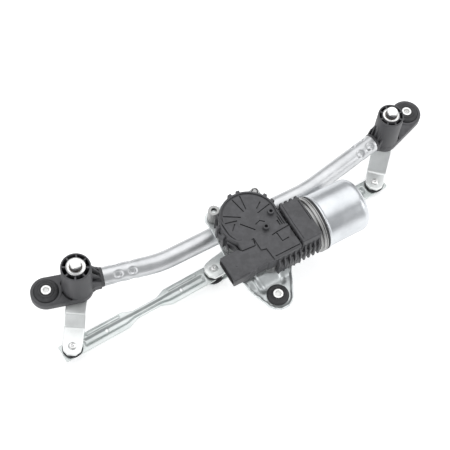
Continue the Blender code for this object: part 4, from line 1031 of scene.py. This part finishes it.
CAN_RADIUS, CAN_WALL, CAN_CORNER, CAN_FROM, CAN_TO = 32.0, 1.6, 10.0, 80.5, 138.0
CAN_STEEL = plated("satin_can", (0.56, 0.58, 0.60), (0.70, 0.72, 0.74), (0.28, 0.42), 40.0, 260.0, 0.010)


def motor_can():
    inside_radius, corner = CAN_RADIUS - CAN_WALL, CAN_CORNER
    middle = (CAN_RADIUS - corner, CAN_TO - corner)
    end = [(0, CAN_TO), (9.5, CAN_TO), (10.3, CAN_TO - 1.1), (17.5, CAN_TO - 1.1), (18.4, CAN_TO)]
    wall = [*arc(middle, corner, 90, 0, 16), (CAN_RADIUS, CAN_FROM + 3.4),
            (CAN_RADIUS + 0.9, CAN_FROM + 2.4)]
    wall += [(CAN_RADIUS + 1.2, CAN_FROM + 1.6), (CAN_RADIUS + 1.2, CAN_FROM + 0.2),
             (CAN_RADIUS + 1.0, CAN_FROM)]
    wall += [(inside_radius, CAN_FROM), *arc(middle, corner - CAN_WALL, 0, 90, 12)]
    wall += [(17.0, CAN_TO - CAN_WALL - 1.1), (11.0, CAN_TO - CAN_WALL - 1.1), (9.0, CAN_TO - CAN_WALL)]
    return along_x(turned("drawn_can", [*end, *wall, (0, CAN_TO - CAN_WALL)], finish=CAN_STEEL, steps=128))


fit(motor_can(), "frame", "zinc_plated_steel", "motor_can")
ring = [(29.0, CAN_FROM - 0.2), (32.8, CAN_FROM - 0.2), (33.4, CAN_FROM - 1.4), (32.8, CAN_FROM - 2.7)]
ring = soften([*ring, (29.0, CAN_FROM - 2.7)], 0.5)
fit(along_x(turned("can_seal_ring", ring, finish=RUBBER, steps=128)), "frame", "rubber", "can_seal")

COPPER = plated("drawn_copper", (0.58, 0.27, 0.14), (0.74, 0.38, 0.22), (0.28, 0.45), 150.0, 800.0, 0.01)
FERRITE = moulded("ferrite_magnet", (0.045, 0.045, 0.05), (0.075, 0.075, 0.08), (0.55, 0.75), 0.04)
ACETAL = moulded("white_gear_acetal", (0.66, 0.65, 0.60), (0.76, 0.75, 0.71), (0.35, 0.5), 0.01,
                 (0.85, 0.84, 0.8))
dress(FERRITE, "front_magnet", "rear_magnet")
dress(NYLON, "brush_plate")
dress(COPPER, "upper_brush", "lower_brush", "armature_core", "commutator")
dress(BRONZE, "can_bearing", "worm_shaft_bearing")
dress(NICKEL, "armature_shaft")
dress(ACETAL, "worm_wheel")

# ------------------------------------------------------------------------------- output shaft and crank
# The hardened shaft carries the acetal worm wheel inside and, under the housing, a pressed crank with
# a drawn hub, held by a flanged nut. A ball pin riveted in the crank's tip drives both link rods.

SHAFT_RADIUS, CRANK_TOP, CRANK_THICK, CRANK_LENGTH, CRANK_ANGLE = 6.0, -21.0, 4.0, 45.7, 189.0
BALL_NECK, BALL_RADIUS = 3.2, 5.0
# A lighter, less metallic copy of the zinc for the levers, crank and nut: painted light, standing in for the
# fill light that makes them look white.
PAINTED_LIGHT_ZINC = plated("zinc_plated_lever", (0.80, 0.82, 0.81), (0.90, 0.92, 0.91), (0.28, 0.42), 60.0, 420.0,
                    0.012, 0.75)


def plan(at, angle):
    """Stands a piece that is made along X at a place in plan, facing an angle in degrees."""
    return Matrix.Translation((at[0] * MM, at[1] * MM, 0)) @ Matrix.Rotation(math.radians(angle), 4, "Z")


def polar(origin, length, angle):
    return Vector(origin) + length * Vector((math.cos(math.radians(angle)), math.sin(math.radians(angle))))


def rivet_head(top):
    """The pin's head over a plate, with the dimple that the riveting punch leaves."""
    return [(0, top + 0.7), (1.3, top + 1.0), (1.9, top + 1.6), (3.4, top + 1.5), (4.4, top + 0.9),
            (4.6, top + 0.1)]


def output_shaft():
    top, plate_low = 26.0, CRANK_TOP - CRANK_THICK
    profile = [(0, top), (SHAFT_RADIUS, top), (SHAFT_RADIUS, plate_low), (4.7, plate_low)]
    profile = soften(profile, 0.5, closed=False)
    for thread in range(8):
        profile += [(4.7, plate_low - 0.6 - thread), (4.15, plate_low - 1.1 - thread)]
    return turned("hardened_shaft", [*profile, (3.6, plate_low - 9), (0, plate_low - 9)], MOTOR_SHAFT,
                  NICKEL, 64)


def crank():
    low = CRANK_TOP - CRANK_THICK
    tip = [polar((CRANK_LENGTH, 0), 12.2, angle) for angle in (-105, -58, -20, 20, 58, 105)]
    hub = arc((0, 0), 13, 78, 282, 40)
    outline = soften([*hub, *(tuple(point) for point in tip)], [0.0] * len(hub) + [3.0] * len(tip), steps=5)
    holes = [circle((0, 0), SHAFT_RADIUS + 0.3), circle((CRANK_LENGTH, 0), BALL_NECK + 0.2)]
    plate = slab("crank_plate", [outline, *holes], low, CRANK_TOP, PAINTED_LIGHT_ZINC, 0.7, 3)
    hub = [(SHAFT_RADIUS + 0.3, CRANK_TOP - 0.5), (12.0, CRANK_TOP - 0.5), (10.5, CRANK_TOP + 1.6)]
    hub += [(10.5, CRANK_TOP + 5), (SHAFT_RADIUS + 0.3, CRANK_TOP + 5)]
    hub = turned("crank_hub", soften(hub, [0, 0.5, 2.0, 1.0, 0.4]), finish=PAINTED_LIGHT_ZINC)
    return moved(together("pressed_crank", plate, hub), plan(MOTOR_SHAFT, CRANK_ANGLE))


def crank_pin():
    profile = [*rivet_head(CRANK_TOP), (BALL_NECK, CRANK_TOP + 0.1), (BALL_NECK, CRANK_TOP - CRANK_THICK)]
    pin = turned("crank_rivet", [*profile, (0, CRANK_TOP - CRANK_THICK)], (CRANK_LENGTH, 0), NICKEL, 64)
    return moved(pin, plan(MOTOR_SHAFT, CRANK_ANGLE))


def crank_nut():
    top = CRANK_TOP - CRANK_THICK - 0.2
    washer = [(5.0, top), (9.2, top), (9.2, top - 1.0), (8.2, top - 1.6), (5.0, top - 1.6)]
    washer = turned("nut_flange", soften(washer, 0.3), MOTOR_SHAFT, PAINTED_LIGHT_ZINC)
    outlines = [soften(circle(MOTOR_SHAFT, 8.6, 6), 0.8), circle(MOTOR_SHAFT, 5.0)]
    return together("flanged_nut", slab("nut_hexagon", outlines, top - 7.3, top - 1.2, PAINTED_LIGHT_ZINC, 0.7),
                    washer)


fit(output_shaft(), "crank", "nickel_plated_steel", "output_shaft")
fit(crank(), "crank", "zinc_plated_steel", "motor_crank")
fit(crank_pin(), "crank", "nickel_plated_steel", "crank_pin")
fit(crank_nut(), "crank", "zinc_plated_steel", "crank_nut")

# --------------------------------------------------------------------- spindles, levers and ball pins
# Each spindle turns in its bushes under a retaining washer. A zinc-plated lever, pressed from strip
# with a double bend, is riveted on its lower end, and a ball pin is riveted in the lever's tip.
# The spindle's bright top has a thin dark steel skin round its side: painted shade where the side lies in
# shadow under the top.

LEVER_TOP, LEVER_THICK = -12.0, 3.5
SPINDLE_TOP, SPINDLE_RADIUS = 54.0, 6.5
WASHER_RADII = {"left": 11.0, "right": 9.9}
LEVERS = {"left": (65.2, 237.0, 9.5, (31.0, 42.5)), "right": (46.6, 228.0, 20.6, (13.0, 33.0))}
SOCKET_TOPS, SOCKET_HEIGHT, CUP_RADIUS, BALL_BELOW_TOP = {"left": -26.0, "right": -36.9}, 10.6, 10.0, 4.2


def ball_below(ball_z):
    """The lower end of a pin: its neck widening into the ball."""
    ball = [(r, z) for r, z in arc((0, ball_z), BALL_RADIUS, 38, -86, 16)]
    return [(BALL_NECK, ball_z + 3.6), *ball, (0, ball_z - BALL_RADIUS)]


# A dark steel for a thin skin round each spindle's side: painted shade under the spindle's bright top.
PAINTED_SHADE_STEEL = plated("knurled_steel", (0.10, 0.10, 0.105), (0.19, 0.19, 0.20), (0.34, 0.50), 120.0, 900.0)


def spindle(side):
    low = LEVER_TOP - LEVER_THICK
    profile = [(0, SPINDLE_TOP), (SPINDLE_RADIUS - 0.9, SPINDLE_TOP), (SPINDLE_RADIUS, SPINDLE_TOP - 1.0)]
    profile += [(SPINDLE_RADIUS, low - 0.2), (SPINDLE_RADIUS + 2.0, low - 0.2)]
    profile += [(SPINDLE_RADIUS + 1.2, low - 2.4), (3.0, low - 2.4), (2.0, low - 1.4), (0, low - 1.4)]
    stud = turned(side + "_turned_spindle", profile, PIVOTS[side], NICKEL)
    # The dark skin paints the shade that falls on the spindle's side.
    skin, belt_low, belt_high = SPINDLE_RADIUS + 0.12, BARREL_TOP + 2.1, SPINDLE_TOP - 1.3
    knurl = [(SPINDLE_RADIUS - 0.6, belt_low), (skin, belt_low), (skin, belt_high),
             (SPINDLE_RADIUS - 0.6, belt_high)]
    knurl = turned("knurl", soften(knurl, 0.2), PIVOTS[side], PAINTED_SHADE_STEEL)
    return together(side + "_turned_spindle", stud, knurl)


def top_washer(side):
    inner, outer, low = SPINDLE_RADIUS + 0.7, WASHER_RADII[side], BARREL_TOP
    profile = [(inner, low), (outer, low), (outer, low + 1.2), (outer - 1.6, low + 1.8), (inner, low + 1.8)]
    return turned(side + "_dished_washer", soften(profile, [0.2, 0.3, 0.5, 0.8, 0.3]), PIVOTS[side], NICKEL)


def lever(side):
    length, angle, drop, (start, end) = LEVERS[side]
    tip = [tuple(polar((length, 0), 11.3, turn)) for turn in (-98, -62, -24, 24, 62, 98)]
    hub = arc((0, 0), 12, 88, 272, 40)
    outline = soften([*hub, *tip], [0.0] * len(hub) + [3.0] * len(tip), steps=5)
    holes = [circle((0, 0), SPINDLE_RADIUS + 0.1, 48), circle((length, 0), BALL_NECK + 0.1, 32)]

    def height(x, y):
        ramp = (x - start) / (end - start)
        if ramp < 0.14:
            ramp = 0.5 * max(ramp + 0.14, 0.0) ** 2 / 0.28
        elif ramp > 0.86:
            ramp = 1 - 0.5 * max(1.14 - ramp, 0.0) ** 2 / 0.28
        return LEVER_TOP - drop * ramp

    blank = pressed(side + "_pressed_lever", [outline, *holes], height, LEVER_THICK, PAINTED_LIGHT_ZINC, 1.2, 0.5)
    return moved(blank, plan(PIVOTS[side], angle))


def lever_pin(side):
    length, angle, drop, slope = LEVERS[side]
    top = LEVER_TOP - drop
    profile = [*rivet_head(top), (BALL_NECK, top + 0.1), *ball_below(SOCKET_TOPS[side] - BALL_BELOW_TOP)]
    pin = turned(side + "_riveted_ball_pin", profile, (length, 0), NICKEL, 64)
    return moved(pin, plan(PIVOTS[side], angle))


for side in ("left", "right"):
    body = side + "_arm"
    fit(spindle(side), body, "nickel_plated_steel", side + "_spindle")
    fit(top_washer(side), body, "nickel_plated_steel", side + "_top_washer")
    fit(lever(side), body, "zinc_plated_steel", side + "_lever")
    fit(lever_pin(side), body, "nickel_plated_steel", side + "_lever_ball_pin")

# ------------------------------------------------------------------------------ link rods and ball sockets
# Pressed strip rods, zinc plated: wide at their ends round the sockets, narrow in the middle, with a
# long pressed channel, a narrow pressed bar beside it and two small tooling holes. Black nylon cups
# with small webs below snap over the balls.

ROD_THICK, ROD_HALF, ROD_NECK_HALF, ROD_BELOW_TOP = 2.6, 10.5, 5.5, 2.8
ROD_WAIST = {"left": (68.0, 124.0), "right": (60.0, 150.0)}
ROD_HOLES = {"left": (44.0, 142.0), "right": (40.0, 190.0)}
ROD_ZINC = plated("zinc_plated_rod", (0.55, 0.59, 0.58), (0.69, 0.72, 0.71), (0.26, 0.42), 55.0, 380.0,
                  0.014, 0.9)
CUP_NYLON = moulded("cup_nylon", (0.020, 0.020, 0.022), (0.032, 0.032, 0.034), (0.35, 0.5), 0.012,
                    (0.10, 0.10, 0.105))


def rod_line(side):
    """Where a rod starts, its length between balls, and its direction in degrees."""
    length, angle = LEVERS[side][:2]
    start = polar(PIVOTS[side], length, angle)
    reach = polar(MOTOR_SHAFT, CRANK_LENGTH, CRANK_ANGLE) - start
    return start, reach.length, math.degrees(math.atan2(reach.y, reach.x))


def link_rod(side):
    start, span, angle = rod_line(side)
    low, high = ROD_WAIST[side]
    top = SOCKET_TOPS[side] - ROD_BELOW_TOP
    edge = [(-13.0, ROD_HALF), (low, ROD_HALF), (low + 12, ROD_NECK_HALF), (high - 12, ROD_NECK_HALF)]
    edge += [(high, ROD_HALF), (span + 6, ROD_HALF), (span + 12, ROD_HALF - 5)]
    rounding = [1.8, 8.0, 8.0, 8.0, 8.0, 3.0, 3.0]
    outline = soften([(x, -y) for x, y in edge] + edge[::-1], rounding + rounding[::-1])
    holes = [circle((x, 0), CUP_RADIUS - 1.9) for x in (0, span)]
    holes += [circle((x, 0), 1.7, 24) for x in ROD_HOLES[side]]

    def height(x, y):
        wide = 1.0 - ease(x, low - 2, low + 12) + ease(x, high - 12, high + 2)
        half = 0.9 + 1.4 * wide
        ends = ease(x, 13.0, 17.5) * (1 - ease(x, span - 17.5, span - 13.0))
        channel = -2.4 * (1 - ease(abs(y + 0.9 * wide), half - 0.4, half + 2.9)) * ends
        bar = 0.0
        for first, last in ((21.0, low - 4.0), (high + 4.0, span - 21.0)):
            along = ease(x, first - 0.8, first + 0.8) * (1 - ease(x, last - 0.8, last + 0.8))
            bar += 1.0 * along * (1 - ease(abs(y - 6.6), 0.9, 1.8))
        collar = 0.8 * (1 - ease(abs(math.hypot(x if x < span / 2 else x - span, y) - 9.6), 0.2, 1.0))
        return top + channel + bar + collar * ease(ROD_HALF - abs(y), -0.5, 0.9)

    blank = pressed(side + "_pressed_rod", [outline, *holes], height, ROD_THICK, ROD_ZINC, 0.85, 0.3)
    return moved(blank, plan(start, angle))


def ball_cup(name, top, at, angle, start):
    low, middle, rod_top = top - SOCKET_HEIGHT, top - BALL_BELOW_TOP, top - ROD_BELOW_TOP
    cavity = BALL_RADIUS + 0.3
    brim = CUP_RADIUS + 1.7
    outside = [(BALL_NECK + 1.0, top), (brim - 1.4, top), (brim, top - 1.2), (brim, rod_top + 0.9)]
    outside += [(CUP_RADIUS - 2.1, rod_top + 0.2), (CUP_RADIUS - 2.1, rod_top - ROD_THICK - 1.2)]
    outside += [(CUP_RADIUS - 0.4, rod_top - ROD_THICK - 1.2), (CUP_RADIUS - 1.6, low), (0, low)]
    hollow = [(r, z) for r, z in arc((0, middle), cavity, -85, 38, 16)]
    profile = [(0, middle - cavity), *hollow, *soften(outside, 0.5, closed=False)]
    cup = turned(name, profile, (0, 0), CUP_NYLON, 72)
    web = block("cup_web", (4.6, -0.5, low + 0.2), (CUP_RADIUS - 1.9, 0.5, low + 1.4), edge=0.2)
    webs = repeated(name + "_webs", web, 6, CUP_NYLON, turn=(0, 0, 60))
    cup = together(name, cup, webs)
    return moved(cup, plan(start, angle) @ Matrix.Translation((at * MM, 0, 0)))


for side in ("left", "right"):
    body, top = side + "_rod", SOCKET_TOPS[side]
    start, span, angle = rod_line(side)
    fit(link_rod(side), body, "zinc_plated_steel", side + "_link_rod")
    for place, at in (("outer", 0.0), ("inner", span)):
        cup = ball_cup(f"{side}_{place}_ball_cup", top, at, angle, start)
        fit(cup, body, "black_plastic", f"{side}_{place}_socket")
    pin_top = top + (0.7 if side == "left" else -0.05)
    ball = turned(side + "_turned_crank_ball", [(0, pin_top), (BALL_NECK, pin_top),
                  *ball_below(top - BALL_BELOW_TOP)], (span, 0), NICKEL, 64)
    fit(moved(ball, plan(start, angle)), body, "nickel_plated_steel", side + "_crank_ball")

# ------------------------------------------------------------------------------ floor, lights and camera
# A plain pale table just under the lowest nut, one large soft light overhead and two low soft ones,
# so that the metal picks up bright bands with darker edges and almost no shadow falls.

TABLE_Z = -47.7
TABLE_COLOURS, TABLE_DUST = ((0.86, 0.86, 0.86), (0.90, 0.90, 0.90)), (0.93, 0.93, 0.93)
TABLE = moulded("pale_table", *TABLE_COLOURS, (0.7, 0.9), grain=0.01, worn=TABLE_DUST, dust=0.2)
table_shader = TABLE.node_tree.nodes["Principled BSDF"]
table_shader.inputs["Emission Color"].default_value = (1.0, 1.0, 1.0, 1.0)
table_shader.inputs["Emission Strength"].default_value = 0.5
block("studio_table", (-2500, -2500, TABLE_Z - 6), (2500, 2500, TABLE_Z), TABLE, 1.0, 40.0)


def soft_light(name, at, towards, size, watts):
    """A rectangular lamp, its place in millimetres and its size in metres."""
    lamp = bpy.data.lights.new(name, "AREA")
    lamp.shape, lamp.energy = "RECTANGLE", watts
    lamp.size, lamp.size_y = size
    obj = link(name, lamp)
    obj.location = Vector(at) * MM
    obj.rotation_euler = (Vector(towards) - Vector(at)).to_track_quat("-Z", "Y").to_euler()


MIDDLE = Vector((8.0, 90.0, 0.0))
soft_light("overhead", (450, 650, 1500), MIDDLE, (2.8, 2.0), 21.0)
soft_light("left_low", (-1300, -300, 700), MIDDLE, (0.8, 1.2), 5.0)
soft_light("right_low", (1200, -700, 600), MIDDLE, (0.8, 0.8), 4.0)
sky = bpy.data.worlds.new("studio_air")
sky.use_nodes = True
sky.node_tree.nodes["Background"].inputs["Color"].default_value = (0.97, 0.98, 1.0, 1.0)
sky.node_tree.nodes["Background"].inputs["Strength"].default_value = 0.42
bpy.context.scene.world = sky
bpy.context.scene.view_settings.view_transform = "Standard"

# The camera looks down from the front left, 28.5 degrees off the spindles, and is rolled by 7 degrees.
VIEW_HEADING, VIEW_TILT, VIEW_ROLL = math.radians(36.491), math.radians(28.5), math.radians(7.0)
VIEW_DISTANCE, VIEW_TARGET = 1487.5, Vector((7.767, 125.136, -38.0))
across = Vector((math.cos(VIEW_HEADING), -math.sin(VIEW_HEADING), 0.0))
towards_us = Vector((across.y, -across.x, 0.0)) * math.sin(VIEW_TILT)
towards_us.z = math.cos(VIEW_TILT)
upward = towards_us.cross(across)
right = across * math.cos(VIEW_ROLL) + upward * math.sin(VIEW_ROLL)
upward = upward * math.cos(VIEW_ROLL) - across * math.sin(VIEW_ROLL)
lens = bpy.data.cameras.new("camera")
lens.lens, lens.sensor_width = 100.0, 36.0
camera = link("camera", lens)
turn = Matrix((right, upward, towards_us)).transposed().to_4x4()
camera.matrix_world = Matrix.Translation((VIEW_TARGET + towards_us * VIEW_DISTANCE) * MM) @ turn
bpy.context.scene.camera = camera
